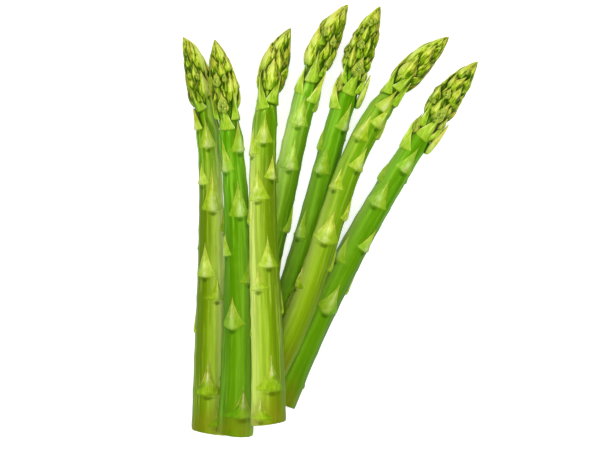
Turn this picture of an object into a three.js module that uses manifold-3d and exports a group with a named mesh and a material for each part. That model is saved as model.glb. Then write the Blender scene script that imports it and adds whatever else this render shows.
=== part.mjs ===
// Loose bundle of seven green asparagus spears, lying fanned out on a flat surface with nothing
// tying them. Millimetres, +Z up, origin on the surface under the middle of the bundle, tips to +Y.
//
// Four spears lie on the surface (1, 4, 5, 7) and three lie in the grooves between them (2, 3, 6).
// Each spear is one solid: a tapering ribbed stem with a cut lower end, pointed triangular bracts
// that clasp the stem, and a bud head of overlapping keeled scales. Bracts and scales are sunk into
// the flesh and joined to it. Where two spears touch, what stands off the skin is pressed flat.

import * as THREE from "three";
import Module from "manifold-3d";

const wasm = await Module();
wasm.setup();

// ---- driving dimensions -------------------------------------------------------------------------

const STEM_SIDES = 12; // facets round a stem
const RIB = 0.1; // mm, height of the lengthwise ribs above and below the mean skin
const CUT_BEVEL = 0.5; // mm, dried rounded edge of the cut end
const SCALE_LIFT = 1.2; // mm, how far the head scales build the head out from its core
const ROOT = 1.2; // mm, how deep bracts and scales are sunk
const CONTACT_GAP = 0.35; // mm, least space kept between what two neighbours carry
const PRESSED = 0.35; // mm, what hangs lower than this is pressed flat on the surface
const AXIS_STEPS = 160; // samples along a spear axis
const GOLDEN = 137.5; // degrees from one head scale to the next
const SCALES = 23; // scales in a head
const FIRST_SCALE = 5; // mm from the tip to the root of the topmost scale
const HEAD_LENGTH = 52; // mm from the tip to the root of the lowest head scale

// Head outline: distance from the tip and radius there, before each spear's own head factor.
const HEAD_OUTLINE = [
  [0, 0.3],
  [3, 2.1],
  [7, 3.9],
  [12, 5.2],
  [18, 6.3],
  [24, 7.0],
  [30, 7.3],
  [38, 6.8],
  [48, 5.9],
];
const NECK = 55; // mm from the tip to the narrowest part of the stem

// Bract outline: share of its height, half width in widths, rise of the keel, rise of the edge (mm).
const BRACT_ROWS = [
  [1.0, 0.0, 0.4, 0.4],
  [0.34, 0.24, 1.1, 0.4],
  [0.02, 0.53, 1.3, 0.75],
  [-0.13, 0.36, 0.95, 0.45],
];

// Head scale outline, in the same terms.
const SCALE_ROWS = [
  [1.0, 0.0, 0.4, 0.4],
  [0.4, 0.46, 0.45, -0.35],
  [-0.1, 0.36, -0.6, -1.1],
];

const YELLOW_GREEN = 0x8fb52e;
const DEEP_GREEN = 0x4f9a1e;
const PALE_GREEN = 0xa3cf5c;

// Every spear: where its axis starts and ends, its headings in degrees from +Y towards +X and the
// lengths of the curve handles (in chords) at the two ends, heights of the four control points of its
// axis, how much longer the cut leaves the top and the right side, radii, head factor, colour, and its
// bracts as distance from the cut end, angle round the stem from the top towards +X, height and width
// (and, for a few, how far the tip stands away).
const SPEARS = [
  {
    name: "spear_1",
    base: [-57.8, -101],
    tip: [-70.1, 87.6],
    heading: [0, -32],
    handles: [0.4, 0.19],
    rise: [7.95, 5.85, 5.95, 8.75],
    cut: { top: 0.3, right: 1.4 },
    radius: { base: 8.2, neck: 5.1 },
    head: 1.03,
    colour: YELLOW_GREEN,
    bracts: [
      [4.3, 35, 9, 9],
      [20, -3, 15, 14],
      [36, 150, 13, 11],
      [49, -110, 13, 10],
      [64.5, 28, 9, 9.5],
      [76, -27, 14, 9.5],
      [88, -130, 11, 8.5],
      [97, 80, 10, 8],
      [108, 10, 18, 9.5],
      [119.5, -46, 9, 7],
      [128, 120, 10, 7],
      [137.5, -4, 12, 8],
      [146, -52, 9, 6, 0.6],
    ],
  },
  {
    name: "spear_2",
    base: [-45, -100.4],
    tip: [-54.6, 85.6],
    heading: [3, -12.5],
    handles: [0.32, 0.33],
    rise: [20, 24.6, 16, 19.8],
    cut: { top: 0.5, right: 0.4 },
    radius: { base: 8.6, neck: 5.3 },
    head: 1.07,
    colour: DEEP_GREEN,
    bracts: [
      [9, 24, 15, 15],
      [26, -130, 13, 10.5],
      [39, 140, 13, 10],
      [51, -22, 14, 10.5],
      [72, 48, 10, 9],
      [85, -67, 9, 8],
      [95, 140, 11, 8],
      [104, 14, 14.5, 9.5],
      [116, -150, 10, 8],
      [125.5, -44, 13, 8],
      [134, 41, 12, 8.5],
    ],
  },
  {
    name: "spear_3",
    base: [-29.1, -94.2],
    tip: [-18.9, 92.3],
    heading: [1, 31.5],
    handles: [0.37, 0.23],
    rise: [37.7, 36.5, 11.4, 3.1],
    cut: { top: 0.4, right: -1.2 },
    radius: { base: 8.1, neck: 5.9 },
    head: 1.06,
    colour: YELLOW_GREEN,
    bracts: [
      [3, -26, 9, 10],
      [15.7, 12, 16, 15],
      [42, -120, 12, 10],
      [52, 110, 12, 9.5],
      [62.5, -27, 8, 9],
      [72, 17, 15, 9.5],
      [95, -100, 10, 8.5],
      [105.5, -21, 14, 10],
      [115.4, 46, 10, 7.5],
      [127.3, -58, 11, 8],
      [133, 0, 12.5, 8.5],
    ],
  },
  {
    name: "spear_4",
    base: [-43.2, -55],
    tip: [8.5, 103.2],
    heading: [31, 39],
    handles: [0.26, 0.28],
    rise: [6.6, 4.1, 8.65, 7.15],
    cut: { top: 0, right: 0 },
    radius: { base: 6.2, neck: 5.5 },
    head: 1.07,
    colour: PALE_GREEN,
    bracts: [
      [16, -70, 11, 8.5],
      [30, 75, 11, 8.5],
      [43, -140, 11, 8.5],
      [55, 75, 12, 8],
      [70, 150, 11, 8],
      [77, -75, 10, 8],
      [85, 3, 13.5, 9],
      [96, -140, 10, 7.5],
      [106, -2, 12.5, 9],
      [114, 95, 10, 7.5],
    ],
  },
  {
    name: "spear_5",
    base: [-35, -70.6],
    tip: [23.8, 102.3],
    heading: [30.5, 27.5],
    handles: [0.27, 0.28],
    rise: [7.1, 4.8, 6.35, 8.45],
    cut: { top: 0, right: 0 },
    radius: { base: 6.6, neck: 5.4 },
    head: 1.06,
    colour: DEEP_GREEN,
    bracts: [
      [12, 90, 12, 9],
      [26, -100, 12, 9],
      [40, 30, 12, 9],
      [55, 140, 12, 8.5],
      [67.5, -40, 12, 8.5],
      [82, 110, 11, 8],
      [100, -20, 12.5, 9.5],
      [110, -78, 9, 7],
      [117, 140, 9, 7],
      [122.6, 38, 12, 8],
      [130, -42, 10, 8],
      [138, 82, 10, 7, 2.2],
    ],
  },
  {
    name: "spear_6",
    base: [-27.4, -70.4],
    tip: [56.7, 88.0],
    heading: [29, 51],
    handles: [0.41, 0.44],
    rise: [21.2, 17.2, 11.3, 5.1],
    cut: { top: 0, right: 0 },
    radius: { base: 6.8, neck: 5.6 },
    head: 1.02,
    colour: YELLOW_GREEN,
    bracts: [
      [14, 150, 11, 8.5],
      [28, -100, 11, 8.5],
      [41.5, -66, 9, 8.5],
      [54, 100, 11, 8.5],
      [66.7, 1, 11.5, 10.5],
      [79, 78, 10, 8],
      [91.5, -34, 9, 8],
      [103.7, 38, 10.5, 9],
      [118, -21, 12, 8],
      [122, 95, 9, 7],
      [127, 34, 11, 8],
      [135, 10, 10.5, 8],
    ],
  },
  {
    name: "spear_7",
    base: [-24.5, -86.9],
    tip: [70.3, 75.9],
    heading: [22, 46.5],
    handles: [0.39, 0.14],
    rise: [8.35, 5.2, 7, 8.6],
    cut: { top: 0, right: 0 },
    radius: { base: 8.1, neck: 5.6 },
    head: 1.07,
    colour: DEEP_GREEN,
    bracts: [
      [12, 130, 13, 10.5],
      [29, -120, 13, 10.5],
      [50, 33, 14, 11],
      [62, 110, 12, 9.5],
      [74.4, -43, 11, 9],
      [84.4, 50, 10, 8.5],
      [96, -150, 11, 8],
      [106.3, -12, 13, 10],
      [117, -78, 9, 7.5],
      [122, 130, 10, 8],
      [127, 22, 12, 8.5],
      [135.6, -40, 10, 8],
      [142, 82, 13, 8, 2.6],
    ],
  },
];

// ---- helpers ------------------------------------------------------------------------------------

const DEG = Math.PI / 180;
const UP = new THREE.Vector3(0, 0, 1);

// Repeatable random numbers from 0 to 1, so that the bundle is always the same one.
function seeded(seed) {
  let state = seed >>> 0;
  return () => {
    state = (Math.imul(state, 1664525) + 1013904223) >>> 0;
    return state / 4294967296;
  };
}

// Value of a table of [position, value] pairs at x, straight between its entries.
function lookUp(table, x) {
  if (x <= table[0][0]) return table[0][1];
  for (let i = 1; i < table.length; i++) {
    const [x0, y0] = table[i - 1];
    const [x1, y1] = table[i];
    if (x <= x1) return y0 + ((y1 - y0) * (x - x0)) / (x1 - x0);
  }
  return table[table.length - 1][1];
}

// ---- a spear's axis and skin --------------------------------------------------------------------

class Spear {
  constructor(spec, index) {
    this.spec = spec;
    this.index = index;
    const base = new THREE.Vector3(...spec.base, spec.rise[0]);
    const tip = new THREE.Vector3(...spec.tip, spec.rise[3]);
    const chord = Math.hypot(tip.x - base.x, tip.y - base.y);
    const [atBase, atTip] = spec.heading.map((h) => h * DEG);
    const [reach, back] = spec.handles.map((h) => h * chord);
    const second = new THREE.Vector3(
      base.x + Math.sin(atBase) * reach,
      base.y + Math.cos(atBase) * reach,
      spec.rise[1],
    );
    const third = new THREE.Vector3(
      tip.x - Math.sin(atTip) * back,
      tip.y - Math.cos(atTip) * back,
      spec.rise[2],
    );
    const curve = new THREE.CubicBezierCurve3(base, second, third, tip);
    curve.arcLengthDivisions = 400;
    this.curve = curve;
    this.length = curve.getLength();
    this.samples = [];
    for (let i = 0; i <= AXIS_STEPS; i++) {
      const s = (this.length * i) / AXIS_STEPS;
      this.samples.push({ point: this.frame(s).point, radius: this.radius(s) });
    }
  }

  // Radius of the skin, the head scales included, at distance s from the cut end.
  radius(s) {
    const { radius, head } = this.spec;
    const d = this.length - s;
    const last = HEAD_OUTLINE[HEAD_OUTLINE.length - 1];
    if (d <= last[0]) return lookUp(HEAD_OUTLINE, d) * head;
    if (d <= NECK) {
      const t = (d - last[0]) / (NECK - last[0]);
      return last[1] * head * (1 - t) + radius.neck * t;
    }
    const t = (d - NECK) / (this.length - NECK);
    return radius.neck * (1 - t) + radius.base * t;
  }

  // How far the core of the head lies below the outline its scales give it.
  sink(s) {
    const d = this.length - s;
    const inHead = Math.min(Math.max((NECK + 4 - d) / 8, 0), 1);
    const nearTip = Math.min(Math.max(d, 0) / 12, 1);
    return SCALE_LIFT * inHead * nearTip;
  }

  // Axis point at s with the directions away from it to the top and to the right of the spear.
  frame(s) {
    const u = Math.min(Math.max(s / this.length, 0), 1);
    const point = this.curve.getPointAt(u);
    const along = this.curve.getTangentAt(u);
    const right = new THREE.Vector3().crossVectors(along, UP).normalize();
    const top = new THREE.Vector3().crossVectors(right, along);
    return { point, along, right, top };
  }

  // Point at distance s, angle phi round the stem and rise off the skin.
  at(s, phi, rise) {
    const { point, along, right, top } = this.frame(s);
    const over = Math.max(s - this.length, 0) + Math.min(s, 0);
    const r = this.radius(s) + rise;
    return point
      .addScaledVector(top, Math.cos(phi) * r)
      .addScaledVector(right, Math.sin(phi) * r)
      .addScaledVector(along, over);
  }

  // How far something may stand off the skin at s and phi before it meets what a neighbour carries.
  room(s, phi, spears) {
    const foot = this.at(s, phi, 0);
    let free = Infinity;
    for (const other of spears) {
      if (other === this) continue;
      for (const { point, radius } of other.samples)
        free = Math.min(free, foot.distanceTo(point) - radius);
    }
    return (free - CONTACT_GAP) / 2;
  }
}

// ---- solids -------------------------------------------------------------------------------------

// Closed solid from a list of points and a list of triangles, with a flat on its underside where it
// lies on the surface.
function solid(points, triangles) {
  const positions = new Float32Array(points.length * 3);
  points.forEach((p, i) => {
    positions.set([p.x, p.y, p.z < PRESSED ? 0 : p.z], i * 3);
  });
  const mesh = new wasm.Mesh({
    numProp: 3,
    vertProperties: positions,
    triVerts: new Uint32Array(triangles.flat()),
  });
  return new wasm.Manifold(mesh);
}

// Distances from the cut end at which the stem has a ring of points.
function ringStations(length) {
  const stations = [0, CUT_BEVEL];
  const plain = length - NECK;
  const steps = Math.round(plain / 19);
  for (let i = 1; i <= steps; i++) stations.push((plain * i) / steps);
  for (const d of [46, 36, 26, 17, 9, 3]) stations.push(length - d);
  return stations;
}

// Shifts the first rings along the axis to follow a cut that is not quite square.
function slantCut(spear, points, count) {
  const { along, right, top, point } = spear.frame(0);
  const { cut, radius } = spear.spec;
  for (let i = 0; i < count; i++) {
    const out = points[i].clone().sub(point).divideScalar(radius.base);
    const longer = cut.top * out.dot(top) + cut.right * out.dot(right);
    points[i].addScaledVector(along, -longer);
  }
}

// The fleshy core: ribbed stem, bevelled cut end and the closed inner bud of the head.
function coreSolid(spear) {
  const points = [];
  const triangles = [];
  const stations = ringStations(spear.length);
  const n = STEM_SIDES;
  stations.forEach((s, row) => {
    const sink = spear.sink(s);
    const ribs = RIB * (1 - sink / SCALE_LIFT);
    const bevel = row === 0 ? CUT_BEVEL : 0;
    for (let i = 0; i < n; i++) {
      const rib = i % 2 ? -ribs : ribs;
      const phi = (2 * Math.PI * (i + 0.5)) / n;
      points.push(spear.at(s, phi, rib - sink - bevel));
    }
  });
  slantCut(spear, points, 2 * n);
  const rows = stations.length;
  for (let row = 0; row + 1 < rows; row++)
    for (let i = 0; i < n; i++) {
      const a = row * n + i;
      const b = row * n + ((i + 1) % n);
      triangles.push([a, b, a + n], [b, b + n, a + n]);
    }
  const cut = points.length;
  points.push(spear.frame(0).point);
  const bud = points.length;
  points.push(spear.frame(spear.length).point);
  for (let i = 0; i < n; i++) {
    const j = (i + 1) % n;
    triangles.push([cut, j, i]);
    triangles.push([bud, (rows - 1) * n + i, (rows - 1) * n + j]);
  }
  return solid(points, triangles);
}

// A pointed leaf on the skin: rows of edge, keel, edge from its tip down, over a sunk root.
function leafSolid(spear, spears, rows, place) {
  const { s, phi, height, width, lift = 0, sweep = 0, flare = 0 } = place;
  const upper = [];
  const lower = [];
  for (const [share, half, keel, edge] of rows) {
    const y = s + share * height;
    const turn = phi + (sweep * share) / spear.radius(s);
    const sides = half > 0 ? [-1, 0, 1] : [0];
    const line = { top: [], root: [] };
    for (const side of sides) {
      const angle = turn + (side * half * width) / spear.radius(Math.min(y, s + 8));
      const rise = (side ? edge : keel) + lift + flare * Math.max(share, 0);
      const allowed = Math.min(rise, spear.room(y, angle, spears));
      line.top.push(spear.at(y, angle, allowed));
      const depth = ROOT + spear.sink(y) - Math.min(allowed, 0);
      line.root.push(spear.at(y, angle, -Math.min(depth, spear.radius(y) * 0.7)));
    }
    upper.push(line.top);
    lower.push(line.root);
  }
  const points = [...upper.flat(), ...lower.flat()];
  const roots = upper.flat().length;
  const triangles = [];
  const rowStart = (r) => (r === 0 ? 0 : 1 + (r - 1) * 3);
  const face = (a, b, c) => {
    triangles.push([a, b, c]);
    triangles.push([c + roots, b + roots, a + roots]);
  };
  const wall = (a, b) => {
    triangles.push([a, a + roots, b]);
    triangles.push([b, a + roots, b + roots]);
  };
  const first = rowStart(1);
  face(0, first, first + 1);
  face(0, first + 1, first + 2);
  for (let r = 1; r + 1 < rows.length; r++) {
    const p = rowStart(r);
    const q = rowStart(r + 1);
    for (const k of [0, 1]) {
      face(p + k, q + k, p + k + 1);
      face(p + k + 1, q + k, q + k + 1);
    }
  }
  const left = [0];
  const right = [0];
  for (let r = 1; r < rows.length; r++) {
    left.push(rowStart(r));
    right.push(rowStart(r) + 2);
  }
  for (let i = 0; i + 1 < left.length; i++) {
    wall(left[i], left[i + 1]);
    wall(right[i + 1], right[i]);
  }
  const last = rowStart(rows.length - 1);
  wall(last, last + 1);
  wall(last + 1, last + 2);
  return solid(points, triangles);
}

// Where the head scales sit: a golden-angle spiral, close together at the tip and wider lower down.
function headPlaces(spear) {
  const random = seeded(31 + spear.index * 17);
  const start = random() * 360;
  const places = [];
  for (let i = 0; i < SCALES; i++) {
    const t = i / (SCALES - 1);
    const d = FIRST_SCALE + (HEAD_LENGTH - FIRST_SCALE) * Math.pow(t, 0.85);
    const size = Math.min(0.42 + 0.8 * t, 1) * spear.spec.head;
    places.push({
      s: spear.length - d,
      phi: (start + GOLDEN * i + (random() - 0.5) * 16) * DEG,
      height: 10.5 * size * (0.92 + 0.16 * random()),
      width: 7.6 * size * (0.92 + 0.16 * random()),
      lift: (random() - 0.5) * 0.25,
      sweep: (random() - 0.5) * 1.6,
    });
  }
  return places;
}

function spearSolid(spear, spears) {
  const random = seeded(7 + spear.index * 13);
  let body = coreSolid(spear);
  for (const [s, angle, height, width, flare] of spear.spec.bracts) {
    const place = {
      s,
      phi: angle * DEG,
      height,
      width,
      sweep: (random() - 0.5) * 1.2,
      flare,
    };
    body = body.add(leafSolid(spear, spears, BRACT_ROWS, place));
  }
  for (const place of headPlaces(spear))
    body = body.add(leafSolid(spear, spears, SCALE_ROWS, place));
  return body;
}

function geometryOf(body) {
  const mesh = body.getMesh();
  const positions = new Float32Array(mesh.numVert * 3);
  for (let i = 0; i < mesh.numVert; i++)
    for (let k = 0; k < 3; k++)
      positions[i * 3 + k] = mesh.vertProperties[i * mesh.numProp + k];
  const geometry = new THREE.BufferGeometry();
  geometry.setAttribute("position", new THREE.BufferAttribute(positions, 3));
  geometry.setIndex(new THREE.BufferAttribute(new Uint32Array(mesh.triVerts), 1));
  return geometry;
}

// ---- the bundle ---------------------------------------------------------------------------------

const bundle = new THREE.Group();
bundle.name = "asparagus_bundle";
const spears = SPEARS.map((spec, index) => new Spear(spec, index));
for (const spear of spears) {
  const material = new THREE.MeshStandardMaterial({
    color: spear.spec.colour,
    roughness: 0.45,
    metalness: 0,
  });
  const mesh = new THREE.Mesh(geometryOf(spearSolid(spear, spears)), material);
  mesh.name = spear.spec.name;
  bundle.add(mesh);
}

export default bundle;
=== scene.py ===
"""Finish for a loose bundle of seven green asparagus spears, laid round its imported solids.

Every spear is made of the same parts: a ribbed tapering stem with a cut lower end, triangular bracts
that clasp it, and a bud head of keeled scales with small knobbly buds between them. Each part is first
made unrolled, as if the spear were straight and its skin laid flat: x across, y along from the cut
end, z off the skin. Geometry Nodes roll it round the spear's curved axis. Metres, +Z up, tips to +Y.
"""

from __future__ import annotations

import logging
import math
import random
from collections.abc import Callable, Iterable
from dataclasses import dataclass, replace
from enum import Enum

import bmesh
import bpy
import numpy as np
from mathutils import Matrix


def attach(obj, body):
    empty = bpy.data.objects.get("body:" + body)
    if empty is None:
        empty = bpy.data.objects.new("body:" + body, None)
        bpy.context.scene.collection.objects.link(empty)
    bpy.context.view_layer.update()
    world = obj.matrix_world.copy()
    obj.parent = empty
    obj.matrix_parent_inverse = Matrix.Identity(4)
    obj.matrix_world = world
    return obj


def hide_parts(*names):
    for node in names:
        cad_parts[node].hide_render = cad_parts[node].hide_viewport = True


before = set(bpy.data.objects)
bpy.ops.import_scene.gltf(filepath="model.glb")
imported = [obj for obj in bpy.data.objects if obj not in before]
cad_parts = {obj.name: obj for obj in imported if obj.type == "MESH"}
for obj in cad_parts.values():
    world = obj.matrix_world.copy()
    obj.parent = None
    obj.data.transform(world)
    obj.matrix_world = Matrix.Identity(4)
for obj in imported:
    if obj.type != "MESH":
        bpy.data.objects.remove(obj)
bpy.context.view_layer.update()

log = logging.getLogger("asparagus")

MM = 0.001
TAU = 2 * math.pi
GOLDEN_ANGLE = 137.5
# mm from the tip, and the head's radius there under its scales, before a spear's own head factor
HEAD_OUTLINE = (
    (0, 0.3), (3, 1.7), (7, 3.2), (12, 4.4), (18, 5.4), (24, 6.1), (30, 6.3), (38, 5.8), (48, 5.5),
)
NECK = 55.0  # mm from the tip to the narrowest part of the stem
SCALE_LIFT = 1.5  # mm, how far the head scales build the head out from its core
NODE_SWELL = 0.18  # mm, how much the stem swells at each bract
NODE_REACH = 2.5  # mm along the stem that a swelling takes to fade
CONTACT_GAP = 0.12  # mm, least space kept between what two neighbours carry

Tone = tuple[int, int, int]  # a colour as 0 to 255 screen values


# ---- node trees ----


def operator(operation: str, swapped: bool = False) -> Callable[[Sock, Value], Sock]:
    """Makes a Python operator that adds a Math node.

    Args:
        operation: Blender's name for the Math node's operation.
        swapped: whether the two sides change places, for the reflected form.

    Returns:
        The operator, as a method of Sock.
    """

    def apply(this: Sock, other: Value) -> Sock:
        """The Math node on this and other."""
        return this.graph.math(operation, *((other, this) if swapped else (this, other)))

    return apply


class Sock:
    """A node's output, on which Python's operators add Math nodes."""

    __add__, __radd__ = operator("ADD"), operator("ADD", True)
    __sub__, __rsub__ = operator("SUBTRACT"), operator("SUBTRACT", True)
    __mul__, __rmul__ = operator("MULTIPLY"), operator("MULTIPLY", True)
    __truediv__, __pow__ = operator("DIVIDE"), operator("POWER")

    def __init__(self, graph: Graph, socket: bpy.types.NodeSocket) -> None:
        """Keeps the socket and the graph it belongs to."""
        self.graph, self.socket = graph, socket

    def __abs__(self) -> Sock:
        """This without its sign."""
        return self.graph.math("ABSOLUTE", self)

    def least(self, low: Value) -> Sock:
        """This, or low where this is lower."""
        return self.graph.math("MAXIMUM", self, low)

    def most(self, high: Value) -> Sock:
        """This, or high where this is higher."""
        return self.graph.math("MINIMUM", self, high)

    def smooth(self, low: float, high: float) -> Sock:
        """A smooth step from 0 at low to 1 at high."""
        inputs = {"Value": self, "From Min": low, "From Max": high}
        settings = {"interpolation_type": "SMOOTHSTEP"}
        return self.graph.get("ShaderNodeMapRange", inputs, settings, output="Result")

    def fade(self, low: float, high: float) -> Sock:
        """A smooth step from 1 at low to 0 at high."""
        return 1.0 - self.smooth(low, high)

    def tint(self, factor: Value, tone: Tone) -> Sock:
        """This colour, which turns into a screen colour as factor goes from 0 to 1."""
        return self.graph.mix(factor, self, tone)


Value = float | Sock


class Graph:
    """A shader or geometry node tree that is written as expressions."""

    def __init__(self, tree: bpy.types.NodeTree) -> None:
        """Starts from the tree without its nodes."""
        self.tree = tree
        tree.nodes.clear()

    def node(self, kind: str, inputs: dict | None = None, settings: dict | None = None) -> bpy.types.Node:
        """Adds a node.

        Args:
            kind: Blender's name for the node type.
            inputs: values or links, by the name or number of the socket.
            settings: the node's own settings, set first; "stops" fills a colour ramp.

        Returns:
            The new node.
        """
        node = self.tree.nodes.new(kind)
        for name, value in (settings or {}).items():
            if name == "stops":
                self._fill_ramp(node.color_ramp, value)
            else:
                setattr(node, name, value)
        for key, value in (inputs or {}).items():
            self.feed(node, key, value)
        return node

    @staticmethod
    def _fill_ramp(ramp: bpy.types.ColorRamp, tones: tuple[Tone, ...]) -> None:
        """Gives a colour ramp evenly spaced screen colours.

        Args:
            ramp: the colour ramp.
            tones: its colours, from 0 to 1.
        """
        while len(ramp.elements) < len(tones):
            ramp.elements.new(1.0)
        for i, (element, tone) in enumerate(zip(ramp.elements, tones)):
            element.position = i / (len(tones) - 1)
            element.color = colour(tone)

    def feed(self, node: bpy.types.Node, key: str | int, value: object) -> None:
        """Sets or links one input of a node.

        Args:
            node: the node.
            key: the socket's name, or its number.
            value: a Sock to link, or a plain value.
        """
        named = (socket for socket in node.inputs if socket.name == key and socket.enabled)
        target = node.inputs[key] if isinstance(key, int) else next(named)
        if isinstance(value, Sock):
            self.tree.links.new(value.socket, target)
        else:
            target.default_value = value

    def get(self, *node: object, output: str | int = 0) -> Sock:
        """Adds a node, from the arguments of node(), and returns one of its outputs."""
        return self.out(self.node(*node), output)

    def out(self, node: bpy.types.Node, output: str | int = 0) -> Sock:
        """One output of a node, by name or number."""
        named = (socket for socket in node.outputs if socket.name == output and socket.enabled)
        return Sock(self, node.outputs[output] if isinstance(output, int) else next(named))

    def math(self, operation: str, *values: Value) -> Sock:
        """A Math node on one to three values."""
        return self.get("ShaderNodeMath", dict(enumerate(values)), {"operation": operation})

    def vector(self, operation: str, *values: object) -> Sock:
        """A Vector Math node with a vector result."""
        return self.get("ShaderNodeVectorMath", dict(enumerate(values)), {"operation": operation})

    def stretch(self, vector: Sock, length: Value) -> Sock:
        """A vector times a number."""
        return self.get("ShaderNodeVectorMath", {0: vector, "Scale": length}, {"operation": "SCALE"})

    def combine(self, *parts: Value) -> Sock:
        """A vector from its three parts."""
        return self.get("ShaderNodeCombineXYZ", dict(enumerate(parts)))

    def parts(self, vector: Sock) -> tuple[Sock, ...]:
        """The three parts of a vector."""
        node = self.node("ShaderNodeSeparateXYZ", {0: vector})
        return tuple(self.out(node, i) for i in range(3))

    def mix(self, factor: Value, first: Sock | Tone, second: Sock | Tone) -> Sock:
        """One colour that turns into another.

        Args:
            factor: 0 for the first colour, 1 for the second.
            first: a link, or a screen colour.
            second: the same.

        Returns:
            The mixed colour.
        """
        pair = [tone if isinstance(tone, Sock) else colour(tone) for tone in (first, second)]
        inputs = {"Factor": factor, "A": pair[0], "B": pair[1]}
        settings = {"data_type": "RGBA", "clamp_factor": True}
        return self.get("ShaderNodeMix", inputs, settings, output="Result")

    def noise(self, vector: Sock, scale: float, detail: float, along: float = 1.0) -> Sock:
        """Smooth noise from 0 to 1.

        Args:
            vector: where it is read.
            scale: how fine it is, per metre.
            detail: how many finer layers it has.
            along: factor on the vector's third part, less than 1 to draw the noise out along a spear.

        Returns:
            The noise.
        """
        if along != 1.0:
            vector = self.vector("MULTIPLY", vector, (1.0, 1.0, along))
        inputs = {"Vector": vector, "Scale": scale, "Detail": detail, "Roughness": 0.55}
        return self.get("ShaderNodeTexNoise", inputs, {"noise_dimensions": "3D"})

    def read(self, name: str, output: str = "Fac") -> Sock:
        """Reads an attribute that the mesh carries, for a shader."""
        settings = {"attribute_type": "GEOMETRY", "attribute_name": name}
        return self.get("ShaderNodeAttribute", None, settings, output=output)


# ---- finishes ----


def colour(tone: Tone) -> tuple[float, ...]:
    """A linear colour from its 0 to 255 screen values."""
    shares = [value / 255 for value in tone]
    return (*(v / 12.92 if v <= 0.04045 else ((v + 0.055) / 1.055) ** 2.4 for v in shares), 1.0)


class Shade(Enum):
    """The three greens of the bundle, named after their material slots."""

    YELLOW_GREEN = "yellow_green_flesh"
    DEEP_GREEN = "deep_green_flesh"
    PALE_GREEN = "pale_green_flesh"


@dataclass(frozen=True)
class Palette:
    """Screen colours of one green.

    Flesh is the stem's middle tone, dark and light its streaks, dark also the painted shade of its
    unlit side, glow the painted light of its lit side and its pale streaks, hollow_shade the painted
    shade under a bract or between scales, leaf a bract's face and cream its foot and the brightest
    painted highlight.
    """

    flesh: Tone
    dark: Tone
    light: Tone
    glow: Tone
    hollow_shade: Tone
    leaf: Tone
    cream: Tone


PALETTES = {
    Shade.YELLOW_GREEN: Palette(
        flesh=(118, 152, 8), dark=(84, 112, 4), light=(140, 172, 26), glow=(186, 210, 78),
        hollow_shade=(44, 70, 4), leaf=(154, 178, 36), cream=(226, 234, 140),
    ),
    Shade.DEEP_GREEN: Palette(
        flesh=(88, 140, 5), dark=(62, 106, 2), light=(106, 156, 18), glow=(142, 192, 56),
        hollow_shade=(38, 74, 6), leaf=(136, 164, 32), cream=(218, 226, 134),
    ),
    Shade.PALE_GREEN: Palette(
        flesh=(114, 160, 24), dark=(76, 120, 6), light=(142, 186, 52), glow=(184, 226, 92),
        hollow_shade=(42, 76, 8), leaf=(150, 178, 46), cream=(214, 238, 136),
    ),
}
YOUNG_GREEN = (86, 152, 5)
OLIVE = (110, 108, 14)  # the skin beside the cut
# painted shade between and under overlapping head scales
SCALE_NOOK_SHADE = (48, 84, 4)
SCALE_FOOT = (104, 156, 10)
SCALE_RIPE = (198, 180, 66)
SCALE_WORN = (220, 188, 98)
# a whitish papery bloom along a bract's keel, partly a painted highlight
BRACT_BLOOM_AND_HIGHLIGHT = (228, 218, 182)
# from the painted shade of the nooks to the painted highlights of the ridges of the head scales, and of
# those that stand alone low in a head
HEAD_TONES = ((40, 72, 2), (64, 94, 3), (114, 142, 14), (170, 193, 46), (200, 216, 84), (220, 231, 144))
COVER_TONES = (SCALE_NOOK_SHADE, (96, 134, 12), (134, 172, 30), (164, 196, 54), (192, 216, 92), (222, 236, 156))


class Finish:
    """What the finishes share: a Principled shader, its even values and the depth of its relief."""

    specular = 0.18
    specular_tint: Tone = (255, 255, 255)
    emission = 0.0
    depth = 0.3  # mm

    def paint(self, graph: Graph) -> tuple[Sock, Sock, Sock | None]:
        """The colour, the roughness, and the height from 0 to 1 of the fine relief."""
        raise NotImplementedError

    def material(self, name: str) -> bpy.types.Material:
        """Builds the material.

        Args:
            name: the material's name.

        Returns:
            The material.
        """
        material = bpy.data.materials.new(name)
        material.use_nodes = True
        graph = Graph(material.node_tree)
        base, rough, height = self.paint(graph)
        inputs = {"Base Color": base, "Roughness": rough, "Specular IOR Level": self.specular}
        inputs |= {"Specular Tint": colour(self.specular_tint), "Emission Strength": self.emission}
        if height:
            relief = {"Strength": 1.0, "Distance": self.depth * MM, "Height": height}
            inputs["Normal"] = graph.get("ShaderNodeBump", relief)
        shader = graph.get("ShaderNodeBsdfPrincipled", inputs)
        graph.node("ShaderNodeOutputMaterial", {"Surface": shader})
        return material


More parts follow.
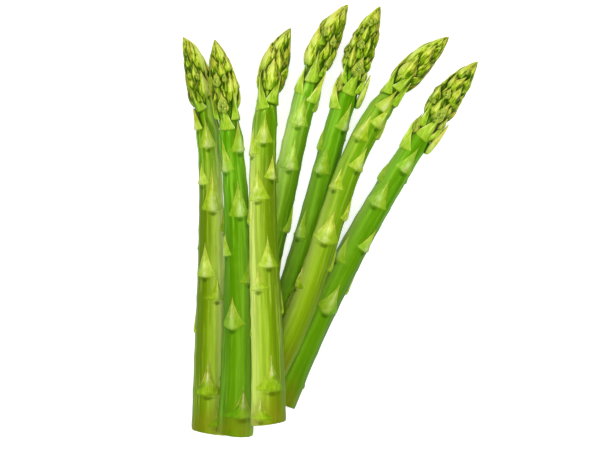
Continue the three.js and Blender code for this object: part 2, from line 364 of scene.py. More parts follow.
@dataclass(frozen=True)
class StemFinish(Finish):
    """Satin skin of a stem: streaked along, olive near the cut end, with painted light on its lit side,
    painted shade on the other and a painted shadow under each bract.
    """

    plan: SpearPlan
    length: float

    specular = 0.08
    specular_tint = (224, 255, 30)
    depth = 0.22
    head_reach = 45 * MM  # from the tip, where the young green is full

    def paint(self, graph: Graph) -> tuple[Sock, Sock, Sock]:
        """Paints a stem, from the attributes straight, place, relief and node.

        Args:
            graph: the material's graph.

        Returns:
            The colour, the roughness and the height of the fine relief.
        """
        plan, tone = self.plan, PALETTES[self.plan.shade]
        straight = graph.read("straight", "Vector")
        angle, along, _ = graph.parts(graph.read("place", "Vector"))
        streaks = graph.noise(straight, 620.0, 3.0, 0.03)
        bands = graph.noise(straight, 190.0, 2.0, 0.1)
        clouds = graph.noise(straight, 120.0, 4.0, 0.6)
        base = graph.mix(bands.smooth(0.3, 0.6), tone.dark, tone.flesh)
        base = base.tint(clouds.smooth(0.45, 0.75) * 0.5, tone.light)
        # Painted light and a painted cream highlight on the lit side, both weaker near the cut end;
        # painted shade on the other side.
        seen = graph.math("COSINE", angle).smooth(-0.7, 0.3)
        side = graph.math("SINE", angle) * plan.lit.value * seen
        light_share = 0.55 + 0.45 * along.smooth(0.02, 0.1)
        base = base.tint(side.smooth(-0.35, 0.75) * light_share * plan.glow, tone.glow)
        base = base.tint(side.smooth(0.3, 0.9) * light_share * max(1.5 * plan.glow - 0.7, 0.0), tone.cream)
        base = base.tint((side * -1.0).smooth(-0.05, 0.55) * plan.dusk, tone.dark)
        young = along.smooth(self.length - plan.fresh * MM, self.length - self.head_reach)
        base = base.tint(young * 0.65, YOUNG_GREEN)
        pale = streaks.smooth(0.5, 0.66) * (young * 0.28 + (0.06 + 0.28 * plan.lines))
        base = base.tint(pale, tone.glow)
        deep = (1.0 - streaks).smooth(0.48, 0.64) * (young * 0.28 + (0.14 + 0.38 * plan.lines))
        base = base.tint(deep * (0.35 + 0.65 * along.smooth(0.02, 0.07)), tone.dark)
        # Painted shadow and a dark pit under each bract's foot, and a painted highlight on the ledge above
        # it.
        ring = graph.read("node")
        base = base.tint(ring.smooth(0.1, 1.1) * 0.7, tone.hollow_shade)
        base = base.tint((ring * -1.0).smooth(0.0, 1.0) * 0.25, tone.glow)
        base = base.tint(along.fade(0.002, 0.022) * clouds.smooth(0.3, 0.6) * 0.6, OLIVE)
        # Painted shade where the skin lies lower than what rises round it, beside and under bracts.
        base = base.tint(graph.read("relief").fade(-1.4, -0.5) * 0.75, tone.hollow_shade)
        rough = 0.36 + 0.14 * bands.smooth(0.3, 0.7) + 0.06 * streaks
        return base, rough, streaks * 0.6 + bands * 0.4


@dataclass(frozen=True)
class CutFinish(Finish):
    """Pale cut face with scattered bundle dots and a greener rim, drying brown at the edge."""

    specular = 0.185
    pith, shaded_pith = (220, 222, 158), (196, 206, 128)
    dots, rim, dried = (132, 146, 58), (130, 146, 40), (158, 134, 70)
    rim_start, rim_full = 5.2 * MM, 7.4 * MM  # from the middle of the face

    def paint(self, graph: Graph) -> tuple[Sock, Sock, Sock]:
        """Paints a cut face, from the attribute straight.

        Args:
            graph: the material's graph.

        Returns:
            The colour, the roughness and the height of the fine relief.
        """
        flat = graph.vector("MULTIPLY", graph.read("straight", "Vector"), (1.0, 1.0, 0.0))
        spots = graph.get("ShaderNodeTexVoronoi", {"Vector": flat, "Scale": 850.0}, output="Distance")
        clouds = graph.noise(flat, 400.0, 3.0)
        centre = graph.get("ShaderNodeVectorMath", {0: flat}, {"operation": "LENGTH"}, output="Value")
        base = graph.mix(clouds.smooth(0.35, 0.7), self.shaded_pith, self.pith)
        base = base.tint(spots.fade(0.14, 0.32) * 0.85, self.dots)
        base = base.tint(centre.smooth(self.rim_start, self.rim_full), self.rim)
        base = base.tint(clouds.smooth(0.55, 0.8) * 0.5, self.dried)
        return base, 0.5 + 0.2 * clouds, spots * 0.5 + clouds * 0.5


class LeafKind(Enum):
    """The kinds of leaf, with their mean tone, gain of painted light on the lit side, gain of painted
    highlight on a ridge, and veins.
    """

    BRACT = (0.62, 0.16, 0.06, 0.4)
    SCALE = (0.57, 0.36, 0.22, 0.85)
    COVER = (0.62, 0.24, 0.08, 0.6)
    SLIP = (0.46, 0.34, 0.22, 1.0)


@dataclass(frozen=True)
class LeafFinish(Finish):
    """Skin of bracts, scales and slips: veined along, paler margins, browned tips, painted light on the
    lit side, painted highlights on ridges and keels, and painted shade in nooks and on undersides.
    """

    plan: SpearPlan
    kind: LeafKind

    specular = 0.12
    specular_tint = (224, 255, 90)
    depth = 0.5
    middle_tone, highest_tone = 0.45, 0.87
    gap_reach = 0.48  # mm, over which the dark of a gap gets full

    def paint(self, graph: Graph) -> tuple[Sock, Sock, Sock]:
        """Paints leaves, from the attributes leaf, tone, place, straight, relief and gap.

        Args:
            graph: the material's graph.

        Returns:
            The colour, the roughness and the height of the fine relief.
        """
        plan, tone = self.plan, PALETTES[self.plan.shade]
        bract, loose = self.kind is LeafKind.BRACT, self.kind in (LeafKind.SCALE, LeafKind.SLIP)
        across, up, under = graph.parts(graph.read("leaf", "Vector"))
        own, relief, straight = graph.read("tone"), graph.read("relief"), graph.read("straight", "Vector")
        angle, along, _ = graph.parts(graph.read("place", "Vector"))
        veins = graph.noise(graph.combine(across * 5.0, up * 0.6, own * 9.0), 3.0, 3.0)
        clouds = graph.noise(straight, 260.0, 3.0)
        fine = graph.noise(straight, 1250.0, 3.0, 0.22)
        edge = abs(across)
        # Painted light: each leaf is lighter on the lit side of the spear and of its own keel.
        side = graph.math("SINE", angle) * plan.lit.value
        face = across * plan.lit.value * 0.5 + side * 0.5
        level, lit, ridge, grain = self.kind.value
        value = face * (lit * (0.6 + plan.glow)) + level
        value = value + (veins - 0.5) * (0.5 * grain) + (fine - 0.5) * (1.2 * grain)
        # Painted highlights on ridges and along each leaf's keel; the clouds are the leaf's own tone.
        value = value + relief.smooth(0.0, 0.7) * ridge
        value = value + edge.fade(0.02, 0.16) * up.smooth(0.1, 0.6) * 0.16 + (clouds - 0.5) * 0.5
        if bract:
            # A painted highlight along a bract's keel; bracts low on the stem are darker.
            value = value + (1.0 - edge).smooth(0.05, 0.9) * 0.1 - along.fade(0.03, 0.075) * 0.2
            tones = (tone.hollow_shade, tone.dark, tone.flesh, tone.leaf, tone.glow, tone.cream)
        else:
            # Painted shade in the nooks between scales; the margins are paler.
            value = value - relief.fade(-0.9, 0.2) * 0.4 + edge.smooth(0.76, 0.94) * 0.22
            tones = HEAD_TONES if loose else COVER_TONES
        contrast, extra, begin = plan.head_tone
        if loose:
            value = (value - self.middle_tone) * contrast + (self.middle_tone + extra)
            value = value.most(self.highest_tone)
        base = graph.get("ShaderNodeValToRGB", {0: value}, {"stops": tones})
        ripe = (own + clouds * 0.7).smooth(0.7, 1.2) * up.smooth(0.2, 0.7)
        base = base.tint(ripe * (0.4 * grain), SCALE_RIPE)
        if bract:
            high = along.smooth(0.03, 0.08)
            foot = high * (1.0 - up).smooth(0.45, 0.9) * 0.35
            ridge_line = (1.0 - high) * up.smooth(0.1, 0.5) * 0.5
            # Whitish bloom along the keel and at the foot, partly a painted highlight.
            bloom_and_highlight = (1.0 - edge).smooth(0.5, 1.0) * clouds.smooth(0.3, 0.6)
            base = base.tint(bloom_and_highlight * (foot + ridge_line), BRACT_BLOOM_AND_HIGHLIGHT)
        brown = (edge + clouds * 0.5).smooth(0.9, 1.22) * up.smooth(0.12, 0.45)
        worn = brown.least((up + clouds * 0.4).smooth(0.98, 1.25)) * own.smooth(0.05, 0.6)
        base = base.tint(worn * 0.45, SCALE_WORN)
        base = base.tint((1.0 - up).smooth(0.62, 0.95) * (0.5 * grain), SCALE_FOOT)
        # Painted shade deep in the nooks, under the edges that overlap and on each leaf's underside.
        base = base.tint(relief.fade(-1.5, -0.5) * 0.85, tone.hollow_shade)
        dim = graph.read("gap").smooth(begin, begin + self.gap_reach)
        dim = dim * (0.98 * grain if grain > 0.5 else 0.12)
        base = base.tint(dim, SCALE_NOOK_SHADE).tint(under, tone.hollow_shade)
        return base, 0.38 + 0.16 * veins, veins * 0.4 + clouds * 0.2 + fine * 0.4


@dataclass(frozen=True)
class BudFinish(Finish):
    """Knobbly side buds: yellow and olive grains with dark green between, and painted shade in gaps and on
    undersides.
    """

    shade: Shade

    foot, face, tip, olive = (74, 106, 8), (150, 176, 38), (196, 204, 90), (90, 124, 14)
    # rim, brown and pit are the grains' own colours; the last is painted shade for the gaps.
    rim, brown, pit, nook = (186, 182, 70), (160, 124, 44), (50, 78, 8), (62, 92, 8)

    def paint(self, graph: Graph) -> tuple[Sock, Sock, Sock]:
        """Paints buds, from the attributes leaf, core, straight, relief and gap.

        Args:
            graph: the material's graph.

        Returns:
            The colour, the roughness and the height of the fine relief.
        """
        hollow_shade = PALETTES[self.shade].hollow_shade
        _, up, under = graph.parts(graph.read("leaf", "Vector"))
        beside, height, _ = graph.parts(graph.read("core", "Vector"))
        straight = graph.read("straight", "Vector")
        clouds, pits = graph.noise(straight, 900.0, 3.0), graph.noise(straight, 2100.0, 2.0)
        base = graph.mix(up.smooth(0.0, 0.5), self.foot, self.face)
        base = base.tint((up + clouds * 0.5).smooth(0.75, 1.2), self.tip)
        base = base.tint((1.0 - clouds).smooth(0.52, 0.64) * 0.4, self.olive)
        rim = (abs(beside) + clouds * 0.3).smooth(0.7, 1.05)
        rim = rim.least((height + clouds * 0.3).smooth(0.75, 1.1))
        base = base.tint(rim * 0.55, self.rim)
        base = base.tint(clouds.smooth(0.56, 0.7) * 0.4, self.brown)
        middle = height.smooth(0.05, 0.25) * height.fade(0.5, 0.8) * abs(beside).fade(0.2, 0.8)
        base = base.tint(pits.smooth(0.48, 0.6) * (middle * 0.8 + 0.15), self.pit)
        # Painted shade in the gaps, in the nooks and on undersides.
        base = base.tint(graph.read("gap").smooth(0.3, 1.0) * 0.6, self.nook)
        base = base.tint(graph.read("relief").fade(-1.4, -0.5) * 0.8, hollow_shade).tint(under, hollow_shade)
        return base, 0.45 + 0.15 * clouds, clouds


@dataclass(frozen=True)
class TableFinish(Finish):
    """Plain pale table, with a faint unevenness in its gloss."""

    specular = 0.2
    emission = 0.62
    darker, lighter = (206, 206, 206), (212, 212, 212)

    def paint(self, graph: Graph) -> tuple[Sock, Sock, None]:
        """The table's colour and roughness, with no relief."""
        clouds = graph.noise(graph.get("ShaderNodeTexCoord", output="Object"), 12.0, 3.0)
        return graph.mix(clouds, self.darker, self.lighter), 0.8 + 0.1 * clouds, None


# ---- a spear's plan and axis ----


class Side(Enum):
    """The side of a spear that gets painted light, as the sign of x across it."""

    LEFT = -1.0
    RIGHT = 1.0


@dataclass(frozen=True)
class Leaf:
    """A bract or scale: where its base is, its angle round the spear from the top, and its size.

    Lengths are mm and angles degrees. Flare is how far its tip stands away, lean turns it sideways,
    puff scales its thickness, lift raises it all, sag lets the middle of its foot hang lower, bud says
    that a knobbly bud sits behind it, bow holds its middle away from the stem, and waist narrows it
    half way up.
    """

    s: float
    angle: float
    height: float
    width: float
    flare: float = 0.0
    lean: float = 0.0
    puff: float = 1.0
    lift: float = 0.0
    sag: float = 0.0
    bud: float = 0.0
    bow: float = 0.0
    waist: float = 0.0


@dataclass(frozen=True)
class SpearPlan:
    """Everything that tells one spear from another, in mm and degrees.

    Base and tip are x and y on the table, heading the directions there from +Y, handles the shares of
    the chord that bend it, and rise the heights of the axis's four control points. Cut is how far the
    cut end slants down at its top and right. Radius is that of the cut end and of the neck, and head a
    factor on the head's outline. Glow and dusk are the strengths of the painted light on the lit side and
    of the painted shade on the dark side, lines that of the streaks; fresh is where the young green
    starts, from the tip. Head_tone is the scales' contrast, their extra lightness and the gap at which
    their painted shade starts. Granular is the share of the spiral's scales with a bud. Scales are rows
    of distance from the tip, angle, height, width and lean, with 1 for a bud behind and a bow where they
    have them; twigs are rows of distance, angle, height, width, flare and lift.
    """

    name: str
    base: tuple[float, float]
    tip: tuple[float, float]
    heading: tuple[float, float]
    handles: tuple[float, float]
    rise: tuple[float, float, float, float]
    cut: tuple[float, float]
    radius: tuple[float, float]
    head: float
    shade: Shade
    lit: Side
    glow: float
    dusk: float
    lines: float
    fresh: float
    head_tone: tuple[float, float, float]
    seed: int
    scale_length: float
    scale_width: float
    granular: float
    scales: tuple[tuple[float, ...], ...]
    bracts: tuple[Leaf, ...]
    twigs: tuple[tuple[float, ...], ...] = ()


class Axis:
    """The curved line in the middle of a spear, with the radius of the skin round it."""

    STEPS = 400

    def __init__(self, plan: SpearPlan) -> None:
        """Works out the curve.

        Args:
            plan: the spear's plan.
        """
        self.plan = plan
        base, tip = np.array([*plan.base, plan.rise[0]]), np.array([*plan.tip, plan.rise[3]])
        chord = math.hypot(*(tip - base)[:2])
        start, end = (math.radians(heading) for heading in plan.heading)
        reach, back = (handle * chord for handle in plan.handles)
        second = [base[0] + math.sin(start) * reach, base[1] + math.cos(start) * reach, plan.rise[1]]
        third = [tip[0] - math.sin(end) * back, tip[1] - math.cos(end) * back, plan.rise[2]]
        self.controls = np.array([base, second, third, tip])
        self.shares = np.linspace(0, 1, self.STEPS + 1)
        steps = np.linalg.norm(np.diff(self._bezier(self.shares), axis=0), axis=1)
        self.lengths = np.concatenate([[0.0], np.cumsum(steps)])
        self.length = float(self.lengths[-1])

    def _bezier(self, t: np.ndarray) -> np.ndarray:
        """Points of the cubic curve at shares t."""
        t = t[:, None]
        a, b, c, d = self.controls
        return (1 - t) ** 3 * a + 3 * (1 - t) ** 2 * t * b + 3 * (1 - t) * t**2 * c + t**3 * d

    def frames(self, s: np.ndarray) -> tuple[np.ndarray, ...]:
        """Where the axis is, and how it is turned.

        Args:
            s: distances from the cut end, mm.

        Returns:
            Points, and unit directions along, to the right and to the top.
        """
        t = np.interp(s, self.lengths, self.shares)
        a, b, c, d = self.controls
        u = t[:, None]
        along = 3 * (1 - u) ** 2 * (b - a) + 6 * (1 - u) * u * (c - b) + 3 * u**2 * (d - c)
        along /= np.linalg.norm(along, axis=1)[:, None]
        right = np.cross(along, [0.0, 0.0, 1.0])
        right /= np.linalg.norm(right, axis=1)[:, None]
        return self._bezier(t), along, right, np.cross(right, along)

    def radius(self, s: np.ndarray) -> np.ndarray:
        """Radius of the skin, head scales included, at distances s from the cut end.

        Args:
            s: distances, mm.

        Returns:
            The radii, mm.
        """
        d = self.length - np.asarray(s, float)
        base, neck = self.plan.radius
        places = [place for place, _ in HEAD_OUTLINE] + [NECK, self.length]
        radii = [radius * self.plan.head for _, radius in HEAD_OUTLINE] + [neck, base]
        offsets = [self.length - d - leaf.s for leaf in self.plan.bracts]
        swell = sum(NODE_SWELL * hump(offset, NODE_REACH) for offset in offsets)
        return np.interp(d, places, radii) + swell

    def at(self, s: np.ndarray, angle: np.ndarray, rise: np.ndarray) -> np.ndarray:
        """Points in space, in mm.

        Args:
            s: distances from the cut end, mm.
            angle: angles round the spear from the top.
            rise: distances off the skin, mm.

        Returns:
            The points.
        """
        point, along, right, top = self.frames(s)
        over = np.maximum(s - self.length, 0) + np.minimum(s, 0)
        r = (self.radius(s) + rise)[:, None]
        turn = angle[:, None]
        return point + top * np.cos(turn) * r + right * np.sin(turn) * r + along * over[:, None]

    def curve(self) -> bpy.types.Object:
        """A curve object along the axis in metres, with the skin's radius at its points."""
        s = np.linspace(0, self.length, self.STEPS + 1)
        return poly_curve(self.plan.name + "_axis", self.frames(s)[0] * MM, self.radius(s) * MM)


# ---- meshes ----


def clamp(value: float) -> float:
    """The value, kept between 0 and 1."""
    return min(max(value, 0), 1)


def hump(offset: np.ndarray, reach: float, power: int = 2) -> np.ndarray:
    """A smooth hump that is 1 where offset is 0 and fades over reach."""
    return np.exp(-((offset / reach) ** power))


def show(name: str, data: bpy.types.ID) -> bpy.types.Object:
    """A new object of the scene that shows data."""
    item = bpy.data.objects.new(name, data)
    bpy.context.scene.collection.objects.link(item)
    return item


def poly_curve(name: str, points: np.ndarray, radii: np.ndarray) -> bpy.types.Object:
    """A curve object through points.

    Args:
        name: its name.
        points: the points, in metres.
        radii: the radius at each, in metres.

    Returns:
        The curve object.
    """
    data = bpy.data.curves.new(name, "CURVE")
    data.dimensions = "3D"
    spline = data.splines.new("POLY")
    spline.points.add(len(points) - 1)
    for point, place, radius in zip(spline.points, points, radii):
        point.co = (*place, 1.0)
        point.radius = radius
    return show(name, data)


def carry(mesh: bpy.types.Mesh, name: str, values: list | np.ndarray) -> None:
    """Gives the points of a mesh an attribute of numbers or of vectors.

    Args:
        mesh: the mesh.
        name: the attribute's name.
        values: a number or a vector for each point.
    """
    array = np.asarray(values, np.float32)
    kind, field = ("FLOAT", "value") if array.ndim == 1 else ("FLOAT_VECTOR", "vector")
    mesh.attributes.new(name, kind, "POINT").data.foreach_set(field, array.ravel())


def carried(mesh: bpy.types.Mesh, name: str) -> np.ndarray:
    """The vectors that a mesh's points carry, such as their position, in metres."""
    values = np.empty(len(mesh.vertices) * 3, np.float32)
    mesh.attributes[name].data.foreach_get("vector", values)
    return values.reshape(-1, 3)


def unrolled(mesh: bpy.types.Mesh) -> tuple[np.ndarray, ...]:
    """The angle, the distance from the cut end and the rise off the skin, in mm, of every point."""
    angle, s, rise = carried(mesh, "place").astype(float).T
    return angle, s / MM, rise / MM


def forget(mesh: bpy.types.Mesh, names: Iterable[str]) -> None:
    """Removes those of the named attributes that a mesh carries."""
    for name in names:
        if name in mesh.attributes:
            mesh.attributes.remove(mesh.attributes[name])


def close_and_turn_out(mesh: bpy.types.Mesh) -> None:
    """Merges points that coincide, drops empty faces and turns all faces outwards.

    Args:
        mesh: the mesh, changed in place.
    """
    work = bmesh.new()
    work.from_mesh(mesh)
    bmesh.ops.remove_doubles(work, verts=work.verts, dist=2e-6)
    bmesh.ops.dissolve_degenerate(work, edges=work.edges, dist=1e-7)
    bmesh.ops.recalc_face_normals(work, faces=work.faces)
    work.to_mesh(mesh)
    work.free()


@dataclass(frozen=True)
class LeafShape:
    """A pointed leaf as a closed shell, one unit wide and one high, its thickness in mm.

    Each row says where it is (0 at the base, 1 at the tip), its half width, how far its middle sags
    below its ends, the rise of its keel and of its margin, and the rise of its underside.
    """

    name: str
    columns: int
    roundness: float
    rows: tuple[tuple[float, float, float, float, float, float], ...]

    def build(self) -> bpy.types.Object:
        """Makes the leaf as an object that Geometry Nodes repeat.

        Returns:
            The object, with the attribute leaf: across, up, and 1 on the underside.
        """
        top, bottom, leaf_top = [], [], []
        for up, half, sag, keel, margin, under in self.rows:
            for u in np.linspace(-1, 1, self.columns):
                hump = (keel - margin) * (1 - abs(u) ** self.roundness)
                x, y, z = u * half, up - sag * (1 - abs(u) ** 2.2), margin + hump
                top.append((x, y, z * MM))
                bottom.append((x, y, min(under + hump * 0.6, z - 0.06) * MM))
                leaf_top.append((u, y, 0.0))
        count, wide, long = len(top), self.columns, len(self.rows)
        faces = []
        for a in (r * wide + c for r in range(long - 1) for c in range(wide - 1)):
            corners = (a, a + wide, a + wide + 1, a + 1)
            faces += [corners, tuple(corner + count for corner in reversed(corners))]
        border = [r * wide for r in range(long)] + [(long - 1) * wide + c for c in range(1, wide)]
        border += [r * wide + wide - 1 for r in range(long - 2, -1, -1)] + list(range(wide - 2, 0, -1))
        faces += [(a, a + count, b + count, b) for a, b in zip(border, border[1:] + border[:1])]
        mesh = bpy.data.meshes.new(self.name)
        mesh.from_pydata(top + bottom, [], faces)
        carry(mesh, "leaf", leaf_top + [(u, y, 1.0) for u, y, _ in leaf_top])
        close_and_turn_out(mesh)
        return show(self.name, mesh)


BRACT = LeafShape(
    name="bract", columns=13, roundness=0.88,
    rows=(
        (1.06, 0.003, 0.0, 0.14, 0.12, -0.9), (0.94, 0.025, 0.0, 0.36, 0.07, -0.9),
        (0.82, 0.066, 0.0, 0.58, 0.05, -0.9), (0.7, 0.118, 0.0, 0.78, 0.04, -0.9),
        (0.58, 0.176, 0.0, 0.95, 0.04, -0.9), (0.46, 0.238, 0.0, 1.09, 0.04, -0.9),
        (0.35, 0.3, 0.0, 1.19, 0.06, -0.9), (0.25, 0.36, 0.0, 1.25, 0.09, -0.9),
        (0.16, 0.42, 0.0, 1.27, 0.15, -0.9), (0.08, 0.475, 0.0, 1.25, 0.24, -0.9),
        (0.02, 0.535, 0.01, 1.19, 0.32, -0.9), (-0.025, 0.575, 0.02, 1.05, 0.34, -0.9),
        (-0.06, 0.57, 0.03, 0.82, 0.26, -0.9), (-0.085, 0.53, 0.035, 0.46, 0.06, -0.9),
        (-0.1, 0.49, 0.035, 0.05, -0.2, -0.9), (-0.105, 0.47, 0.035, -0.3, -0.3, -0.9),
    ),
)

SCALE = LeafShape(
    name="head_scale", columns=11, roundness=1.1,
    rows=(
        (1.0, 0.004, 0.0, 0.74, 0.72, 0.4), (0.95, 0.03, 0.0, 0.88, 0.7, 0.25),
        (0.88, 0.075, 0.0, 1.02, 0.62, 0.0), (0.79, 0.142, 0.0, 1.12, 0.46, -0.25),
        (0.68, 0.245, 0.0, 1.17, 0.3, -0.55), (0.56, 0.365, 0.0, 1.13, 0.12, -0.85),
        (0.45, 0.46, 0.0, 1.02, -0.05, -1.15), (0.35, 0.51, 0.0, 0.86, -0.22, -1.4),
        (0.26, 0.53, 0.0, 0.66, -0.4, -1.7), (0.17, 0.5, 0.015, 0.42, -0.6, -2.0),
        (0.09, 0.43, 0.03, 0.1, -0.85, -2.2), (0.03, 0.35, 0.04, -0.35, -1.1, -2.3),
        (0.0, 0.28, 0.04, -1.0, -1.4, -2.4),
    ),
)

SLIP = LeafShape(
    name="slip", columns=5, roundness=1.1,
    rows=(
        (1.0, 0.01, 0.0, 0.3, 0.27, -0.2), (0.86, 0.12, 0.0, 0.48, 0.15, -0.6),
        (0.66, 0.28, 0.0, 0.5, -0.15, -1.1), (0.44, 0.44, 0.0, 0.3, -0.55, -1.6),
        (0.22, 0.46, 0.0, -0.15, -1.0, -2.0), (0.0, 0.26, 0.03, -1.1, -1.6, -2.3),
    ),
)

GRAIN = LeafShape(
    name="bud_grain", columns=5, roundness=1.2,
    rows=(
        (1.0, 0.01, 0.0, 0.34, 0.32, 0.0), (0.66, 0.3, 0.0, 0.36, 0.14, -0.3),
        (0.3, 0.48, 0.0, 0.2, -0.06, -0.5), (0.0, 0.4, 0.0, -0.1, -0.3, -0.7),
    ),
)


# ---- rolling parts round a spear ----


class RollTree:
    """A Geometry Nodes tree that makes an unrolled part and rolls it round a spear's axis."""

    LEAST_RADIUS = 0.6 * MM  # keeps a leaf from winding round the very tip

    def __init__(self, name: str, **inputs: Iterable[str]) -> None:
        """Makes the tree with its named inputs, and those for the axis and its length.

        Args:
            name: the tree's name.
            inputs: the names of the other inputs, by the kind of their socket.
        """
        self.tree = bpy.data.node_groups.new(name, "GeometryNodeTree")
        self.graph = Graph(self.tree)
        face = self.tree.interface
        kinds = {"Geometry": "Geometry", "Axis": "Object", "Length": "Float"}
        kinds |= {title: kind for kind, titles in inputs.items() for title in titles}
        self.sockets = {
            title: face.new_socket(title, in_out="INPUT", socket_type="NodeSocket" + kind).identifier
            for title, kind in kinds.items()
        }
        face.new_socket("Geometry", in_out="OUTPUT", socket_type="NodeSocketGeometry")
        self.start = self.graph.node("NodeGroupInput")

    def given(self, title: str) -> Sock:
        """One of the tree's named inputs."""
        return self.graph.out(self.start, title)

    def carried(self, name: str, kind: str = "FLOAT") -> Sock:
        """Reads a number, or a vector, that the points carry."""
        node = "GeometryNodeInputNamedAttribute"
        return self.graph.get(node, {"Name": name}, {"data_type": kind}, output="Attribute")

    def store(self, geometry: Sock, name: str, value: Value, kind: str = "FLOAT") -> Sock:
        """Writes an attribute on the points and returns the geometry."""
        inputs = {"Geometry": geometry, "Name": name, "Value": value}
        settings = {"data_type": kind, "domain": "POINT"}
        return self.graph.get("GeometryNodeStoreNamedAttribute", inputs, settings, output="Geometry")

    def move(self, geometry: Sock, position: Sock) -> Sock:
        """Sets every point's place and returns the geometry."""
        return self.graph.get("GeometryNodeSetPosition", {"Geometry": geometry, "Position": position})

    def sample(self, distance: Value) -> bpy.types.Node:
        """Samples the axis and its radius.

        Args:
            distance: how far from the cut end, in metres.

        Returns:
            The node that samples them.
        """
        graph = self.graph
        axis = graph.get("GeometryNodeObjectInfo", {"Object": self.given("Axis")}, output="Geometry")
        inputs = {"Curves": axis, "Value": graph.get("GeometryNodeInputRadius"), "Length": distance}
        return graph.node("GeometryNodeSampleCurve", inputs, {"mode": "LENGTH", "data_type": "FLOAT"})

    def roll(self, geometry: Sock) -> Sock:
        """Rolls unrolled points round the axis.

        Args:
            geometry: points with x across, y along, z off the skin, and the attribute turn.

        Returns:
            The rolled geometry, with the attributes place and straight.
        """
        graph, length = self.graph, self.given("Length")
        x, y, z = graph.parts(graph.get("GeometryNodeInputPosition"))
        radius = graph.out(self.sample(y.least(0.0).most(length)), "Value")
        angle = self.carried("turn") + x / radius.least(self.LEAST_RADIUS)
        away = (radius + z).least(0.0)
        straight = graph.combine(graph.math("SINE", angle) * away, graph.math("COSINE", angle) * away, y)
        geometry = self.store(geometry, "place", graph.combine(angle, y, z), "FLOAT_VECTOR")
        geometry = self.store(geometry, "straight", straight, "FLOAT_VECTOR")
        across, upward, along = graph.parts(self.carried("straight", "FLOAT_VECTOR"))
        clamped = along.least(0.0).most(length)
        spot = self.sample(clamped)
        tangent = graph.vector("NORMALIZE", graph.out(spot, "Tangent"))
        right = graph.vector("NORMALIZE", graph.vector("CROSS_PRODUCT", tangent, (0.0, 0.0, 1.0)))
        top = graph.vector("CROSS_PRODUCT", right, tangent)
        place = graph.out(spot, "Position")
        for direction, reach in ((right, across), (top, upward), (tangent, along - clamped)):
            place = graph.vector("ADD", place, graph.stretch(direction, reach))
        return self.move(geometry, place)

    def dress(self, geometry: Sock, finish: str, chosen: Sock | bool = True) -> Sock:
        """Gives the geometry, or what is chosen of it, the finish of one of the inputs."""
        inputs = {"Geometry": geometry, "Selection": chosen, "Material": self.given(finish)}
        return self.graph.get("GeometryNodeSetMaterial", inputs)

    def end(self, geometry: Sock) -> None:
        """Gives the tree its result."""
        self.graph.node("NodeGroupOutput", {"Geometry": geometry})

    def make(self, name: str, mesh: bpy.types.Mesh, values: dict[str, object]) -> bpy.types.Mesh:
        """Runs the tree on a mesh.

        Args:
            name: the name of the result.
            mesh: the mesh that the tree starts from.
            values: a value for each named input.

        Returns:
            The finished plain mesh.
        """
        item = show(name, mesh)
        modifier = item.modifiers.new("roll", "NODES")
        modifier.node_group = self.tree
        for title, value in values.items():
            modifier[self.sockets[title]] = value
        graph = bpy.context.evaluated_depsgraph_get()
        rolled = item.evaluated_get(graph)
        result = bpy.data.meshes.new_from_object(rolled, preserve_all_data_layers=True, depsgraph=graph)
        result.name = name
        bpy.data.objects.remove(item)
        return result


class StemTree(RollTree):
    """A tapering ribbed stem with a slanted, slightly dished cut face and a closed inner bud."""

    BEVEL, UNEVEN, DISH, SAW_MARKS = 0.35 * MM, 0.34 * MM, 0.5 * MM, 0.3 * MM
    HEAD_START, HEAD_FULL = -16 * MM, -6 * MM  # beyond the neck, where the core sinks for the scales
    TIP_REACH = 12 * MM  # from the tip, where the core comes back to the outline
    SLANT_REACH = 8 * MM  # from the cut end, where its slant has faded
    CUT_EDGE = -0.12 * MM

    def __init__(self) -> None:
        """Builds the tree."""
        floats = ("Ribs", "Rib Height", "Cut Top", "Cut Right", "Bud Sink", "Neck", "Cap")
        super().__init__(
            "ribbed stem", Int=("Around", "Rings"), Float=floats, Material=("Skin", "Cut Face")
        )
        graph, given = self.graph, self.given
        length, cap = given("Length"), given("Cap")
        sizes = {"Size X": 1.0, "Size Y": 1.0, "Vertices X": given("Around"), "Vertices Y": given("Rings")}
        grid = graph.get("GeometryNodeMeshGrid", sizes, output="Mesh")
        x, y, _ = graph.parts(graph.get("GeometryNodeInputPosition"))
        grid = self.store(grid, "turn", x * TAU)
        grid = self.store(grid, "raw", (y + 0.5) * (length + 2.0 * cap) - cap)
        turn, raw = self.carried("turn"), self.carried("raw")
        sine, cosine = graph.math("SINE", turn), graph.math("COSINE", turn)
        start = (raw * -1.0).least(0.0) / cap
        finish = (raw - length).least(0.0) / cap
        along = raw.least(0.0).most(length)
        radius = graph.out(self.sample(along), "Value")
        ring = graph.combine(sine * radius, cosine * radius, along * 0.2)
        uneven = graph.noise(ring, 170.0, 2.0) - 0.5
        swing = graph.noise(graph.combine(0.0, 0.0, along), 30.0, 1.0) * 3.0
        ribs = graph.math("COSINE", turn * given("Ribs") + swing) * given("Rib Height")
        strength = 0.4 + graph.noise(ring, 90.0, 1.0)
        left = length - along
        in_head = (left - given("Neck")).fade(self.HEAD_START, self.HEAD_FULL)
        sink = given("Bud Sink") * in_head * (left / self.TIP_REACH).most(1.0)
        rise = ribs * strength * (1.0 - in_head) + uneven * self.UNEVEN
        rise = rise - sink - raw.fade(-0.0001, 0.0011) * self.BEVEL - radius * (start + finish)
        slant = given("Cut Top") * cosine + given("Cut Right") * sine
        slant = slant * ((1.0 - start) * raw.fade(0.0, self.SLANT_REACH))
        dish = (start * 3.0).most(1.0) * self.DISH
        where = along - slant + dish + graph.noise(ring, 600.0, 2.0) * start * self.SAW_MARKS
        grid = self.roll(self.move(grid, graph.combine(0.0, where, rise)))
        grid = graph.get("GeometryNodeMergeByDistance", {"Geometry": grid, "Distance": 1e-6})
        settings = {"data_type": "FLOAT", "operation": "LESS_THAN"}
        cut = graph.get("FunctionNodeCompare", {"A": raw, "B": self.CUT_EDGE}, settings, output="Result")
        grid = self.dress(self.dress(grid, "Skin"), "Cut Face", cut)
        self.end(graph.get("GeometryNodeRealizeInstances", {"Geometry": grid}))


